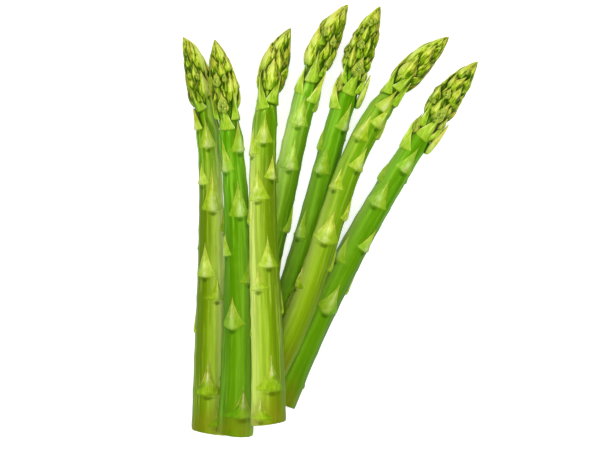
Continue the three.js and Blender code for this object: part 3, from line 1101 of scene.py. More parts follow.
class LeafTree(RollTree):
    """Leaves of one shape, repeated at points that carry their size and turned round the axis."""

    TIP_REACH = 11 * MM  # from the tip, where leaves get thinner

    def __init__(self) -> None:
        """Builds the tree."""
        super().__init__("leaves on a spear", Object=("Leaf",), Int=("Seed",), Material=("Finish",))
        graph, carried = self.graph, self.carried
        shape = graph.get("GeometryNodeObjectInfo", {"Object": self.given("Leaf")}, output="Geometry")
        inputs = {"Min": 0.0, "Max": 1.0, "Seed": self.given("Seed")}
        tone = graph.get("FunctionNodeRandomValue", inputs, {"data_type": "FLOAT"}, output="Value")
        points = self.store(self.given("Geometry"), "tone", tone)
        size = carried("size", "FLOAT_VECTOR")
        lean = graph.get("FunctionNodeEulerToRotation", {0: graph.combine(0.0, 0.0, carried("lean"))})
        inputs = {"Points": points, "Instance": shape, "Rotation": lean, "Scale": size}
        leaves = graph.get("GeometryNodeInstanceOnPoints", inputs)
        leaves = graph.get("GeometryNodeRealizeInstances", {"Geometry": leaves})
        x, y, z = graph.parts(graph.get("GeometryNodeInputPosition"))
        _, height, _ = graph.parts(size)
        share = ((y - carried("start")) / height).least(0.0)
        closing = ((self.given("Length") - y) / self.TIP_REACH).most(1.0)
        arch = share * (1.0 - share).least(0.0) * 4.0
        lifted = z * (0.3 + 0.7 * closing.least(0.0)) + carried("flare") * share**1.4
        lifted = lifted + carried("bow") * arch
        x = x * (1.0 - carried("waist") * arch)
        across, up, _ = graph.parts(carried("leaf", "FLOAT_VECTOR"))
        lower = y - carried("sag") * (1.0 - up).least(0.0) ** 2.0 * (1.0 - abs(across) ** 1.3)
        leaves = self.roll(self.move(leaves, graph.combine(x, lower, lifted)))
        self.end(self.dress(leaves, "Finish"))


LEAF_MARKS = ("turn", "lean", "start", "flare", "sag", "bow", "waist", "size")  # for the leaf tree only


def points_for(leaves: list[Leaf]) -> bpy.types.Mesh:
    """Points that carry each leaf's place and size, for the leaf tree.

    Args:
        leaves: the leaves, in mm and degrees.

    Returns:
        A mesh of loose points.
    """
    mesh = bpy.data.meshes.new("leaf_points")
    mesh.from_pydata([(0.0, leaf.s * MM, leaf.lift * MM) for leaf in leaves], [], [])
    carry(mesh, "turn", [math.radians(leaf.angle) for leaf in leaves])
    carry(mesh, "lean", [math.radians(leaf.lean) for leaf in leaves])
    carry(mesh, "start", [leaf.s * MM for leaf in leaves])
    for name in ("flare", "sag", "bow"):
        carry(mesh, name, [getattr(leaf, name) * MM for leaf in leaves])
    carry(mesh, "waist", [leaf.waist for leaf in leaves])
    carry(mesh, "size", [(leaf.width * MM, leaf.height * MM, leaf.puff) for leaf in leaves])
    return mesh


# ---- parts of a spear ----


@dataclass
class Stem:
    """The fleshy core of a spear."""

    axis: Axis
    around: int = 96
    ring_step: float = 0.7
    ribs: int = 13
    rib_height: float = 0.09
    cap: float = 4.0

    def build(self, tree: StemTree, curve: bpy.types.Object) -> bpy.types.Mesh:
        """Makes the stem's mesh.

        Args:
            tree: the tree of ribbed stems.
            curve: the axis as a curve object.

        Returns:
            The mesh, rolled round the axis.
        """
        plan, length = self.axis.plan, self.axis.length
        sizes = {"Length": length, "Cut Top": plan.cut[0], "Cut Right": plan.cut[1], "Cap": self.cap}
        sizes |= {"Rib Height": self.rib_height, "Bud Sink": SCALE_LIFT, "Neck": NECK}
        values = {title: value * MM for title, value in sizes.items()}
        values |= {"Axis": curve, "Around": self.around + 1, "Ribs": float(self.ribs)}
        values["Rings"] = round((length + 2 * self.cap) / self.ring_step)
        values["Skin"] = StemFinish(plan, length * MM).material(plan.name + "_skin")
        values["Cut Face"] = CutFinish().material(plan.name + "_cut_face")
        return tree.make(plan.name + "_stem", bpy.data.meshes.new("start"), values)


@dataclass
class Head:
    """A head: keeled scales over a close layer of slender slips, with knobbly buds behind some.

    The scales on top are set one by one in the plan; the rest and the slips follow a golden-angle
    spiral, from first to last mm below the tip. Of the spiral's scales only those are kept whose angle
    is a hidden one, and fewer where they are lower than low.
    """

    axis: Axis
    first: float = 9.0
    last: float = 49.0
    count: int = 36
    slip_first: float = 3.5
    slip_last: float = 35.0
    slip_count: int = 95
    widen: float = 1.08
    low: float = 31.0
    hidden: tuple[float, float] = (80, 280)
    hidden_low: tuple[float, float] = (135, 225)

    def scales(self) -> list[Leaf]:
        """Where the scales sit and how big they are.

        Returns:
            The scales set in the plan, then those of the spiral that don't show from above.
        """
        plan, length = self.axis.plan, self.axis.length
        dice = random.Random(plan.seed)
        found = []
        for distance, angle, height, width, lean, *rest in plan.scales:
            bud, bow = (*rest, 0, 0)[:2]
            puff, lift = min(0.6 + distance / 60, 1.15), dice.uniform(-0.1, 0.2)
            place = (length - distance, angle, height, width * self.widen)
            found.append(Leaf(*place, lean=lean, puff=puff, lift=lift, bud=bud, bow=bow))
        turn = dice.uniform(0, 360)
        for i in range(self.count):
            t = i / (self.count - 1)
            distance = self.first + (self.last - self.first) * t**0.9
            angle = (turn + GOLDEN_ANGLE * i + dice.uniform(-8, 8)) % 360
            leaf = Leaf(
                s=length - distance,
                angle=angle,
                height=min(plan.scale_length * dice.uniform(0.85, 1.1), distance - 0.4),
                width=plan.scale_width * min(0.62 + 0.6 * t, 1.0) * dice.uniform(0.9, 1.08),
                lean=dice.uniform(-6, 6),
                puff=0.75 + 0.35 * t,
                lift=dice.uniform(-0.35, 0.05),
                bud=1.0 if dice.random() < plan.granular and t > 0.25 else 0.0,
            )
            start, end = self.hidden if distance < self.low else self.hidden_low
            if start < angle < end:
                found.append(leaf)
        return found

    def slips(self) -> list[Leaf]:
        """The slender slips that fill the head between and under its scales.

        Returns:
            The slips, from the tip down.
        """
        plan, length = self.axis.plan, self.axis.length
        dice = random.Random(plan.seed + 1)
        found = []
        for i in range(self.slip_count):
            t = i / (self.slip_count - 1)
            distance = self.slip_first + (self.slip_last - self.slip_first) * t**0.8
            height = min(plan.scale_length * dice.uniform(0.55, 0.8), distance - 0.3)
            angle = GOLDEN_ANGLE * i + dice.uniform(-20, 20)
            width = dice.uniform(2.8, 4.6) * min(0.6 + t, 1.0)
            lean, lift = dice.uniform(-10, 10), dice.uniform(-0.15, 0.3) * min(0.3 + t, 1.0)
            found.append(Leaf(length - distance, angle, height, width, 0, lean, min(0.5 + t, 1.0), lift))
        return found


class Spear:
    """One spear: stem, bracts, head scales and buds, joined as one piece."""

    APART = 35  # mm from the tip, below which every scale stands alone
    COVER_HEIGHT, COVER_BUD_HEIGHT = 0.9, 0.74  # shares of a scale's height that its cover has
    BUD_HEIGHT, BUD_WIDTH = 0.58, 0.34  # shares of a scale's size that the bud behind it has
    BUD_PUFF, BUD_LIFT = 0.75, -0.1
    WAIST, WAIST_NONE, WAIST_FULL = 0.36, 85, 25  # most waist of a bract, and mm from the cut end
    CELL, BLUR, HIGHEST, EMPTY = 0.5, 1.3, 1.2, -9.0  # mm: a height map's cell, blur, top and bottom
    CELLS_ALONG, CELLS_ROUND, CELLS_BEFORE = 601, 96, 20  # the map's size, and its start before the cut
    SHARP_ANGLE = math.radians(50)

    def __init__(self, plan: SpearPlan) -> None:
        """Works out the axis and the leaves of the spear.

        Args:
            plan: the spear's plan.
        """
        self.plan = plan
        self.axis = Axis(plan)
        self.head = Head(self.axis)
        self.scales = self.head.scales()
        s = np.linspace(0, self.axis.length, 220)
        self.samples = self.axis.frames(s)[0]
        self.radii = self.axis.radius(s)

    def bracts(self) -> list[Leaf]:
        """The bracts, the lower the more waisted."""
        fade = self.WAIST_NONE - self.WAIST_FULL
        shares = [clamp((self.WAIST_NONE - leaf.s) / fade) for leaf in self.plan.bracts]
        return [replace(leaf, waist=self.WAIST * share) for leaf, share in zip(self.plan.bracts, shares)]

    def apart(self, leaf: Leaf) -> bool:
        """Whether a scale stands alone: low in the head, or with a bud behind it."""
        return bool(leaf.bud) or self.axis.length - leaf.s > self.APART

    def plates(self) -> list[Leaf]:
        """The scales that lie close together, and the twigs, that stand clear of the stem.

        Returns:
            The scales, then the twigs.
        """
        twigs = [
            Leaf(self.axis.length - distance, *row, lift=lift) for distance, *row, lift in self.plan.twigs
        ]
        return [leaf for leaf in self.scales if not self.apart(leaf)] + twigs

    def covers(self) -> list[Leaf]:
        """The scales that stand alone, shaped like bracts, shorter where a bud shows above.

        Returns:
            The scales.
        """
        found = []
        for leaf in filter(self.apart, self.scales):
            low = clamp((self.axis.length - leaf.s - 39) / 10)
            lift = leaf.lift - 0.6 * SCALE_LIFT * (1 - low * low * (3 - 2 * low))
            height = leaf.height * (self.COVER_BUD_HEIGHT if leaf.bud else self.COVER_HEIGHT)
            found.append(replace(leaf, height=height, flare=1.0, puff=1.15, lift=lift))
        return found

    def buds(self) -> list[Leaf]:
        """The knobbly buds, each behind the upper half of its scale and out above it.

        Returns:
            The buds.
        """
        return [
            replace(
                leaf,
                s=leaf.s + leaf.height * 0.4,
                height=self.BUD_HEIGHT * leaf.height / Bud.length / MM,
                width=self.BUD_WIDTH * leaf.width / Bud.radius / MM,
                puff=self.BUD_PUFF,
                lift=self.BUD_LIFT,
            )
            for leaf in self.scales
            if leaf.bud
        ]

    def fit(self, mesh: bpy.types.Mesh, others: list[Spear]) -> None:
        """Keeps a part clear of the neighbours and of the table.

        Args:
            mesh: the part, changed in place.
            others: all spears.
        """
        angle, s, rise = unrolled(mesh)
        foot = self.axis.at(s, angle, np.zeros(len(s)))
        free = np.full(len(s), 1e9)
        reach = (foot**2).sum(axis=1)[:, None]
        for other in others:
            if other is not self:
                centres = other.samples
                squares = reach + (centres**2).sum(axis=1)[None] - 2 * foot @ centres.T
                gaps = np.sqrt(np.maximum(squares, 0)) - other.radii[None]
                free = np.minimum(free, gaps.min(axis=1))
        allowed = (free - CONTACT_GAP) / 2
        tight = rise > allowed
        points = carried(mesh, "position")
        if tight.any():
            points[tight] = self.axis.at(s[tight], angle[tight], allowed[tight]) * MM
        points[:, 2] = np.maximum(points[:, 2], 0.0)
        mesh.vertices.foreach_set("co", points.ravel())
        mesh.update()

    def mark_nodes(self, stem: bpy.types.Mesh) -> None:
        """Marks the stem round each bract: 1 under its foot for a painted shadow and dark pit, -1 for a
        painted highlight on the ledge above.

        Args:
            stem: the stem's mesh, which gains the attribute node.
        """
        angle, s, _ = unrolled(stem)
        radius = self.axis.radius(s)
        mark = np.zeros(len(angle))
        for leaf in self.plan.bracts:
            turn = (angle - math.radians(leaf.angle) + math.pi) % TAU - math.pi
            across = turn * radius / (0.5 * leaf.width)
            up = s - leaf.s + 0.12 * leaf.height + leaf.sag * np.clip(1 - across**2, 0, 1)
            mark += 0.55 * hump(up + 1.0, 0.9) * hump(across, 0.9, 4)
            mark += hump(up + 1.7, 0.9) * hump(across, 0.26)
            mark -= 0.6 * hump(up - 1.2, 1.2) * hump(across, 1.5, 4)
        carry(stem, "node", mark)

    def mark_relief(self, meshes: list[bpy.types.Mesh]) -> None:
        """Marks how far each point stands over its surroundings, and how far under what covers it.

        Args:
            meshes: the parts of the spear, which gain the attributes relief and gap, in mm, from which the
                finishes paint highlights and shade.
        """
        places = []
        highest = np.full((self.CELLS_ALONG, self.CELLS_ROUND), self.EMPTY)
        for angle, s, rise in map(unrolled, meshes):
            column = np.floor(angle / TAU * self.CELLS_ROUND).astype(int) % self.CELLS_ROUND
            row = np.floor(s / self.CELL).astype(int) + self.CELLS_BEFORE
            row = np.clip(row, 0, self.CELLS_ALONG - 1)
            places.append((row, column, rise))
            np.maximum.at(highest, (row, column), np.minimum(rise, self.HIGHEST))
        for axis in (0, 1):
            beside = np.maximum(np.roll(highest, 1, axis), np.roll(highest, -1, axis))
            highest = np.maximum(highest, beside)
        known = (highest > self.EMPTY).astype(float)
        total = highest * known
        spread = [(i, hump(i * self.CELL, self.BLUR)) for i in range(-6, 7)]
        for axis in (0, 1):
            known = sum(weight * np.roll(known, i, axis) for i, weight in spread)
            total = sum(weight * np.roll(total, i, axis) for i, weight in spread)
        level = total / np.maximum(known, 1e-6)
        for mesh, (row, column, rise) in zip(meshes, places):
            carry(mesh, "relief", rise - level[row, column])
            carry(mesh, "gap", highest[row, column] - rise)

    def build(self, kit: Kit, others: list[Spear]) -> bpy.types.Object:
        """Makes the finished spear.

        Args:
            kit: the shapes and trees that all spears share.
            others: all spears.

        Returns:
            The finished piece.
        """
        plan, axis = self.plan, self.axis
        curve = axis.curve()
        stem = Stem(axis).build(kit.stems, curve)
        self.fit(stem, others)
        self.mark_nodes(stem)
        meshes = [stem]
        rows = (
            ("bract", self.bracts(), kit.bract, LeafFinish(plan, LeafKind.BRACT)),
            ("slip", self.head.slips(), kit.slip, LeafFinish(plan, LeafKind.SLIP)),
            ("scale", self.plates(), kit.scale, LeafFinish(plan, LeafKind.SCALE)),
            ("cover", self.covers(), kit.bract, LeafFinish(plan, LeafKind.COVER)),
            ("bud", self.buds(), kit.bud, BudFinish(plan.shade)),
        )
        for number, (title, leaves, shape, finish) in enumerate(rows):
            if leaves:
                skin = finish.material(f"{plan.name}_{title}_skin")
                values = {"Axis": curve, "Length": axis.length * MM, "Leaf": shape, "Finish": skin}
                values["Seed"] = plan.seed * 10 + number
                part = kit.leaves.make(f"{plan.name}_{title}s", points_for(leaves), values)
                self.fit(part, others)
                meshes.append(part)
        bpy.data.objects.remove(curve)
        self.mark_relief(meshes)
        return self.join(meshes)

    def join(self, meshes: list[bpy.types.Mesh]) -> bpy.types.Object:
        """Args:
            meshes: the stem's mesh first, then the others.

        Returns:
            The piece.
        """
        for mesh in meshes:
            forget(mesh, (*LEAF_MARKS, "raw"))
        items = [show(mesh.name, mesh) for mesh in meshes]
        piece = items[0]
        with bpy.context.temp_override(
            active_object=piece, selected_editable_objects=items, selected_objects=items
        ):
            bpy.ops.object.join()
        piece.name = piece.data.name = "green_" + self.plan.name
        close_and_turn_out(piece.data)
        piece.data.shade_smooth()
        piece.data.set_sharp_from_angle(angle=self.SHARP_ANGLE)
        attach(piece, "root")
        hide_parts(self.plan.name)
        return piece


@dataclass
class Bud:
    """A small knobbly bud: grains on a golden-angle spiral round an egg-shaped core."""

    length: float = 6.6
    radius: float = 1.75
    grains: int = 46
    fillers: int = 24
    steps: int = 24

    def build(self, leaves: LeafTree) -> bpy.types.Object:
        """Makes the bud as an object that the leaf tree repeats.

        Args:
            leaves: the tree that repeats the grains.

        Returns:
            The bud, lying along +Y from the origin, in metres, with the attribute core: each point's
            place from -1 to 1 across and from 0 to 1 up.
        """
        shares = [i / self.steps for i in range(self.steps + 1)]
        points = [(0.0, t * self.length * MM, 0.0) for t in shares]
        bulge = [max(math.sin(math.pi * (t + 0.12) ** 0.75 * 0.92), 0.06) for t in shares]
        curve = poly_curve("bud_axis", points, [self.radius * MM * b for b in bulge])
        grain = GRAIN.build()
        dice = random.Random(3)
        places = [
            Leaf(
                s=self.length * (0.76 * i / (self.grains - 1)) + dice.uniform(-0.15, 0.15),
                angle=GOLDEN_ANGLE * i + dice.uniform(-16, 16),
                height=dice.uniform(1.6, 2.9),
                width=dice.uniform(1.0, 1.6),
                puff=dice.uniform(0.6, 1.3),
                lean=dice.uniform(-22, 22),
            )
            for i in range(self.grains)
        ]
        places += [
            Leaf(self.length * 0.7 * i / (self.fillers - 1), GOLDEN_ANGLE * i, 2.8, 2.4, lift=-0.35)
            for i in range(self.fillers)
        ]
        values = {"Axis": curve, "Length": self.length * MM, "Leaf": grain, "Seed": 5, "Finish": None}
        mesh = leaves.make("bud", points_for(places), values)
        forget(mesh, (*LEAF_MARKS, "place", "straight"))
        for item in (curve, grain):
            bpy.data.objects.remove(item)
        core = MM * np.array([self.radius, self.length, self.radius])
        carry(mesh, "core", carried(mesh, "position") / core)
        return show("bud", mesh)


class Kit:
    """The trees and shapes that all spears share."""

    def __init__(self) -> None:
        """Makes the two trees, the bud and the leaf shapes."""
        self.leaves = LeafTree()
        self.bud = Bud().build(self.leaves)
        self.stems = StemTree()
        self.bract, self.scale, self.slip = BRACT.build(), SCALE.build(), SLIP.build()

    def clear(self) -> None:
        """Removes the shapes that were only there to be repeated."""
        for item in (self.bract, self.scale, self.slip, self.bud):
            bpy.data.objects.remove(item)


# ---- the bundle ----


def bracts_at(*rows: tuple[float, ...]) -> tuple[Leaf, ...]:
    """Bracts from rows of a Leaf's values in their order, from where it is to its bow."""
    return tuple(Leaf(*row) for row in rows)


PLANS = (
    SpearPlan(
        name="spear_1", base=(-57.8, -101), tip=(-70.1, 87.6), heading=(0, -32), handles=(0.4, 0.19),
        rise=(7.95, 5.85, 5.95, 8.75), cut=(0.3, 1.4), radius=(8.2, 5.1), head=1.03,
        shade=Shade.YELLOW_GREEN, lit=Side.RIGHT, glow=1.0, dusk=1.0, lines=0.6, fresh=85,
        head_tone=(1.36, 0.03, 0.08), seed=31, scale_length=13.5, scale_width=9.0, granular=0.12,
        scales=(
            (8.8, -45, 8.3, 3.2, -3), (10.2, -26, 7.7, 3.2, -10), (14.9, -3, 11.8, 4.3, -9),
            (19.2, 27, 14.2, 7.2, -4), (17.1, -54, 7.7, 4.1, -11), (16.2, -80, 7.9, 4.2, -12),
            (23.3, -24, 10.1, 4.8, -8), (31.2, 4, 13.7, 6.4, -5), (25.2, -4, 7.5, 3.2, -9, 1),
            (27.5, -62, 11.3, 7.3, 1), (22.8, -45, 7.1, 4.1, -1), (35.6, -24, 14, 6.2, 14),
        ),
        bracts=bracts_at(
            (4.3, 35, 9, 9), (20, -3, 15, 14), (36, 150, 13, 11), (49, -110, 13, 10), (64.5, 28, 9, 9.5),
            (76, -27, 14, 9.5), (88, -130, 11, 8.5), (97, 80, 10, 8), (108, 10, 18, 9.5),
            (119.5, -46, 9, 7), (128, 120, 10, 7), (137.5, -4, 12, 8), (146, -52, 9, 6, 0.6),
        ),
    ),
    SpearPlan(
        name="spear_2", base=(-45, -100.4), tip=(-54.6, 85.6), heading=(3, -12.5), handles=(0.32, 0.33),
        rise=(20, 24.6, 16, 19.8), cut=(0.5, 0.4), radius=(8.6, 5.3), head=1.07,
        shade=Shade.DEEP_GREEN, lit=Side.RIGHT, glow=0.5, dusk=0.55, lines=0.6, fresh=130,
        head_tone=(1.3, 0.02, 0.16), seed=48, scale_length=11.0, scale_width=7.0, granular=0.35,
        scales=(
            (12.4, 10, 11.8, 5.2, 1), (10, -51, 9.1, 3.2, -1), (15.5, -31, 7.7, 4.2, 5),
            (18.9, -3, 9, 4, -2), (16.7, 37, 7.7, 4.5, -3), (27.5, -27, 12, 5.2, 0, 1),
            (24.8, 7, 8.9, 3.2, -7, 1), (29.8, 19, 13.6, 5.8, -7), (28, 53, 11.4, 4.7, 0),
            (37.7, 43, 12.3, 5.1, 6), (42.1, -16, 16.3, 7.2, -1, 1), (30.1, -46, 5, 3.2, -12),
            (36.6, -80, 9.6, 5.2, -16), (24.1, -68, 9.6, 4.2, -3),
        ),
        bracts=bracts_at(
            (10, 22, 12.4, 15), (26, -130, 13, 10.5), (39, 140, 13, 10),
            (52.6, -24, 11.2, 11.8, 0.2, 0, 1, 0, 1.6), (72, 48, 10, 9), (85, -67, 9, 8), (95, 140, 11, 8),
            (104, 14, 14.5, 9.5), (116, -150, 10, 8), (125.5, -44, 13, 8), (134, 41, 12, 8.5),
        ),
    ),
    SpearPlan(
        name="spear_3", base=(-29.1, -94.2), tip=(-18.9, 92.3), heading=(1, 31.5), handles=(0.37, 0.23),
        rise=(37.7, 36.5, 11.4, 3.1), cut=(0.4, -1.2), radius=(8.1, 5.9), head=1.06,
        shade=Shade.YELLOW_GREEN, lit=Side.LEFT, glow=0.78, dusk=0.82, lines=0.8, fresh=85,
        head_tone=(1.36, 0.03, 0.08), seed=65, scale_length=13.0, scale_width=8.4, granular=0.15,
        scales=(
            (18.4, 1, 15.6, 6.4, 3), (11.2, 24, 9, 3.2, 10), (10.2, 63, 9.2, 3.2, 7),
            (17, 80, 9.4, 4.2, 13), (26.3, 31, 14.6, 5.3, 13), (18.7, 60, 7.8, 4.8, 16),
            (20.9, -12, 7.7, 4.3, 11), (25.6, -40, 15.5, 8.6, 9), (34, 7, 15.4, 8.4, 6),
            (27.1, 20, 6.3, 3.2, 16), (42.6, -28, 17.5, 6.8, 10), (32.1, -17, 7.5, 3.2, 15),
            (39.2, 33, 13.8, 7.6, -3), (28.6, 75, 9.7, 7.3, 5),
        ),
        bracts=bracts_at(
            (3, -26, 9, 10), (16.8, 12, 14, 14.6), (42, -120, 12, 10), (52, 110, 12, 9.5),
            (62.5, -27, 8, 9), (73.4, 17, 12.4, 8.6), (95, -100, 10, 8.5), (105.5, -21, 14, 10),
            (115.4, 46, 10, 7.5), (127.3, -58, 11, 8), (133, 0, 12.5, 8.5),
        ),
    ),
    SpearPlan(
        name="spear_4", base=(-43.2, -55), tip=(8.5, 103.2), heading=(31, 39), handles=(0.26, 0.28),
        rise=(6.6, 4.1, 8.65, 7.15), cut=(0, 0), radius=(6.2, 5.5), head=1.07,
        shade=Shade.PALE_GREEN, lit=Side.LEFT, glow=1.0, dusk=0.85, lines=0.4, fresh=75,
        head_tone=(1.18, 0.07, 0.22), seed=82, scale_length=12.0, scale_width=8.0, granular=0.3,
        scales=(
            (18.5, -14, 16.5, 8.2, 6), (13.6, 27, 7.9, 3.2, 16), (12.9, 63, 11.1, 3.2, 10),
            (22.8, -16, 8.8, 4.2, 16, 1), (18.6, 2, 5.4, 3.2, 16), (28, -38, 13.5, 7.4, 12),
            (26.2, 39, 9.9, 5.4, 11, 1), (20.8, 80, 8, 4.5, 16), (34, -30, 10.8, 6.3, 16),
            (29.1, 34, 9, 4.9, 16), (39.9, 10, 14.9, 7.5, 9), (33.6, 80, 11.4, 6.4, 16),
            (30, 80, 8.1, 5.2, 13), (36.8, 54, 10.6, 5.2, 10, 1), (49.4, 54, 14.8, 7.6, 1),
            (46.8, -57, 11.7, 7.6, -10),
        ),
        bracts=bracts_at(
            (16, -70, 11, 8.5), (30, 75, 11, 8.5), (43, -140, 11, 8.5), (55, 75, 12, 8), (70, 150, 11, 8),
            (77, -75, 10, 8), (85, 3, 13.5, 9), (96, -140, 10, 7.5), (106, -2, 12.5, 9),
            (114, 95, 10, 7.5),
        ),
    ),
    SpearPlan(
        name="spear_5", base=(-35.0, -70.6), tip=(23.8, 102.3), heading=(30.5, 27.5), handles=(0.27, 0.28),
        rise=(7.1, 4.8, 6.35, 8.45), cut=(0, 0), radius=(6.6, 5.4), head=1.06,
        shade=Shade.DEEP_GREEN, lit=Side.LEFT, glow=0.55, dusk=0.6, lines=0.6, fresh=120,
        head_tone=(1.26, 0.035, 0.2), seed=99, scale_length=10.5, scale_width=6.8, granular=0.4,
        scales=(
            (12.4, -43, 10.8, 6.7, 1), (8.6, 39, 7, 3.2, 9), (14.3, 30, 8.1, 3.2, 8),
            (14.3, -8, 7.9, 3.6, 7, 1), (19.9, -5, 9.2, 4.1, 2), (17.9, -32, 5.5, 3.5, 5, 1),
            (23.9, -41, 7.6, 5.2, 13), (26.5, -5, 9.5, 5.3, 9, 1), (25.5, 29, 9.9, 4.4, 5),
            (18.8, 70, 6.1, 4.2, 16), (32.2, -22, 10.7, 4.4, 4), (25.8, 67, 7.6, 4, 16),
            (31.2, -52, 6.3, 5.7, 1, 1), (43.4, 9, 18, 7.1, -7, 1), (42.5, 66, 12, 5.5, 4, 1, 0.5),
            (30, 43, 5, 3.8, 8), (36.4, 37, 6.8, 4, 13, 1), (33.1, 65, 6.8, 6.3, 7),
            (39.8, -44, 10.1, 5.6, 0), (52, -56, 16, 8, 3, 1, 0.5),
        ),
        twigs=((49.5, 84, 17, 4.6, -1.3, 2.4),),
        bracts=bracts_at(
            (12, 90, 12, 9), (26, -100, 12, 9), (40, 30, 12, 9), (55, 140, 12, 8.5), (67.5, -40, 12, 8.5),
            (82, 110, 11, 8), (100, -20, 12.5, 9.5), (110, -78, 9, 7), (117, 140, 9, 7),
            (122.6, 38, 12, 8),
        ),
    ),
    SpearPlan(
        name="spear_6", base=(-27.4, -70.4), tip=(56.7, 88.0), heading=(29, 51), handles=(0.41, 0.44),
        rise=(21.2, 17.2, 11.3, 5.1), cut=(0, 0), radius=(6.8, 5.6), head=1.02,
        shade=Shade.YELLOW_GREEN, lit=Side.LEFT, glow=0.6, dusk=0.6, lines=0.15, fresh=150,
        head_tone=(1.36, -0.05, 0.08), seed=116, scale_length=13.5, scale_width=8.6, granular=0.15,
        scales=(
            (13.1, -34, 11.3, 5.9, -1), (9.2, -2, 6.8, 3.2, 4), (7.3, 47, 6.3, 3.2, 8),
            (16.4, -22, 9.2, 4.3, 0), (21.4, 2, 14, 6.4, 3), (13.9, 40, 8.5, 4.7, 7),
            (24.6, -46, 16, 8.6, 0), (25.2, -7, 9.4, 4.9, 16), (15.2, 78, 6.6, 5.2, 16),
            (20.1, 27, 7.6, 4.9, 9), (31.3, -9, 13, 8.4, 4), (25.1, 45, 11.9, 5.6, 0),
            (35.7, 16, 13.1, 6.6, 0), (30.4, 44, 7.4, 5.2, -16), (40.1, -43, 12.7, 7.6, 10),
            (42.5, 55, 13.5, 6.4, 11),
        ),
        bracts=bracts_at(
            (14, 150, 11, 8.5), (28, -100, 11, 8.5), (41.5, -66, 9, 8.5), (54, 100, 11, 8.5),
            (67.3, 0, 12, 13.4, 0.3, 0, 1.1, 0, 1.2), (79, 78, 10, 8), (91.5, -34, 9, 8),
            (103.7, 38, 10.5, 9), (118, -21, 12, 8), (122, 95, 9, 7), (127, 34, 11, 8), (135, 10, 10.5, 8),
        ),
    ),
    SpearPlan(
        name="spear_7", base=(-24.5, -86.9), tip=(70.3, 75.9), heading=(22, 46.5), handles=(0.39, 0.14),
        rise=(8.35, 5.2, 7, 8.6), cut=(0, 0), radius=(8.1, 5.6), head=1.07,
        shade=Shade.DEEP_GREEN, lit=Side.LEFT, glow=0.62, dusk=0.42, lines=0.3, fresh=120,
        head_tone=(1.26, 0.025, 0.2), seed=133, scale_length=10.5, scale_width=6.8, granular=0.4,
        scales=(
            (11.9, -28, 10.2, 5.1, 0), (7.7, 80, 6.2, 3.7, 12), (11.1, -8, 6, 3.2, 3, 1),
            (18.8, -5, 9.7, 4.6, -7), (18.2, -26, 6.7, 4, 8), (14.6, 44, 6.3, 3.9, 2),
            (25, 33, 11.2, 5.3, 4), (16.8, 80, 8.4, 5.2, 7), (27.6, -9, 9.6, 5.3, 4, 1),
            (27.8, -50, 7.8, 5.7, 6), (31.3, -41, 5.5, 4.6, 1, 1), (34.1, -5, 9.7, 4.7, 6),
            (44.2, 10, 20, 7.6, -8, 1), (43.5, 66, 13, 6, 4, 1, 0.5), (27.4, 80, 7.4, 6.3, 16),
            (30.4, 47, 5.3, 4.6, 16), (32.5, 80, 8, 6.3, 1), (39.6, -40, 12.3, 5.9, -1),
            (53, -56, 17, 8.5, 3, 1, 0.5),
        ),
        twigs=((50, 84, 17.5, 5.0, -1.4, 2.3),),
        bracts=bracts_at(
            (12, 130, 13, 10.5), (29, -120, 13, 10.5), (51.4, 20, 11.6, 12, 0.2, 0, 1, 0, 1.6),
            (62, 110, 12, 9.5), (74.4, -43, 11, 9), (84.4, 50, 10, 8.5), (96, -150, 11, 8),
            (106.3, -12, 13, 10), (117, -78, 9, 7.5), (122, 130, 10, 8), (127, 22, 12, 8.5),
        ),
    ),
)


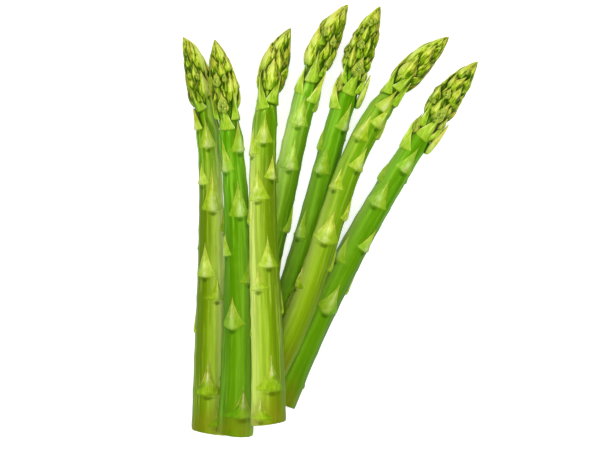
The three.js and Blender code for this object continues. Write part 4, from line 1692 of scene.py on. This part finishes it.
@dataclass
class Studio:
    """Camera, table and soft lights."""

    camera_height: float = 1.2
    lens: float = 150.0
    centre: tuple[float, float] = (-0.0144, -0.0019)
    table_reach: float = 3.0
    surround: float = 0.45

    def camera(self) -> None:
        """A camera that looks straight down on the bundle."""
        data = bpy.data.cameras.new("camera")
        data.lens = self.lens
        data.sensor_width = 36.0
        data.clip_end = 20.0
        item = show("camera", data)
        item.location = (*self.centre, self.camera_height)
        bpy.context.scene.camera = item

    def table(self) -> None:
        """A wide pale table just under the bundle."""
        mesh = bpy.data.meshes.new("table")
        corners = [(-1, -1), (1, -1), (1, 1), (-1, 1)]
        reach, low = self.table_reach, -0.1 * MM
        mesh.from_pydata([(x * reach, y * reach, low) for x, y in corners], [], [(0, 1, 2, 3)])
        mesh.materials.append(TableFinish().material("pale_table"))
        show("table", mesh)

    @staticmethod
    def light(name: str, place: tuple[float, ...], size: tuple[float, float], power: float) -> None:
        """A soft rectangular light that points at the bundle.

        Args:
            name: the light's name.
            place: where it hangs, in metres.
            size: its width and height, in metres.
            power: its power in watts.
        """
        data = bpy.data.lights.new(name, "AREA")
        data.shape = "RECTANGLE"
        data.size, data.size_y = size
        data.energy = power
        item = show(name, data)
        item.location = place
        item.rotation_euler = (-item.location).to_track_quat("-Z", "Y").to_euler()

    def lights(self) -> None:
        """Two long soft boxes beside the camera, one at the heads, one above, and a pale surround."""
        self.light("left_box", (-0.75, -0.1, 0.85), (0.4, 1.2), 6.0)
        self.light("right_box", (0.8, 0.0, 0.8), (0.4, 1.2), 5.0)
        self.light("far_box", (0.0, 1.1, 0.9), (1.0, 0.4), 2.5)
        self.light("top_box", (0.0, 0.0, 1.6), (0.5, 0.5), 9.0)
        world = bpy.data.worlds.new("surround")
        world.use_nodes = True
        graph = Graph(world.node_tree)
        glow = graph.get("ShaderNodeBackground", {"Color": (1.0,) * 4, "Strength": self.surround})
        graph.node("ShaderNodeOutputWorld", {"Surface": glow})
        scene = bpy.context.scene
        scene.world = world
        scene.view_settings.view_transform = "Standard"
        scene.view_settings.look = "None"


def main() -> None:
    """Builds the studio and the seven spears."""
    logging.basicConfig(level=logging.INFO, format="%(name)s: %(message)s")
    studio = Studio()
    studio.camera()
    studio.table()
    studio.lights()
    spears = [Spear(plan) for plan in PLANS]
    kit = Kit()
    for spear in spears:
        piece = spear.build(kit, spears)
        log.info("%s: %d faces", piece.name, len(piece.data.polygons))
    kit.clear()


if __name__ == "__main__":
    main()
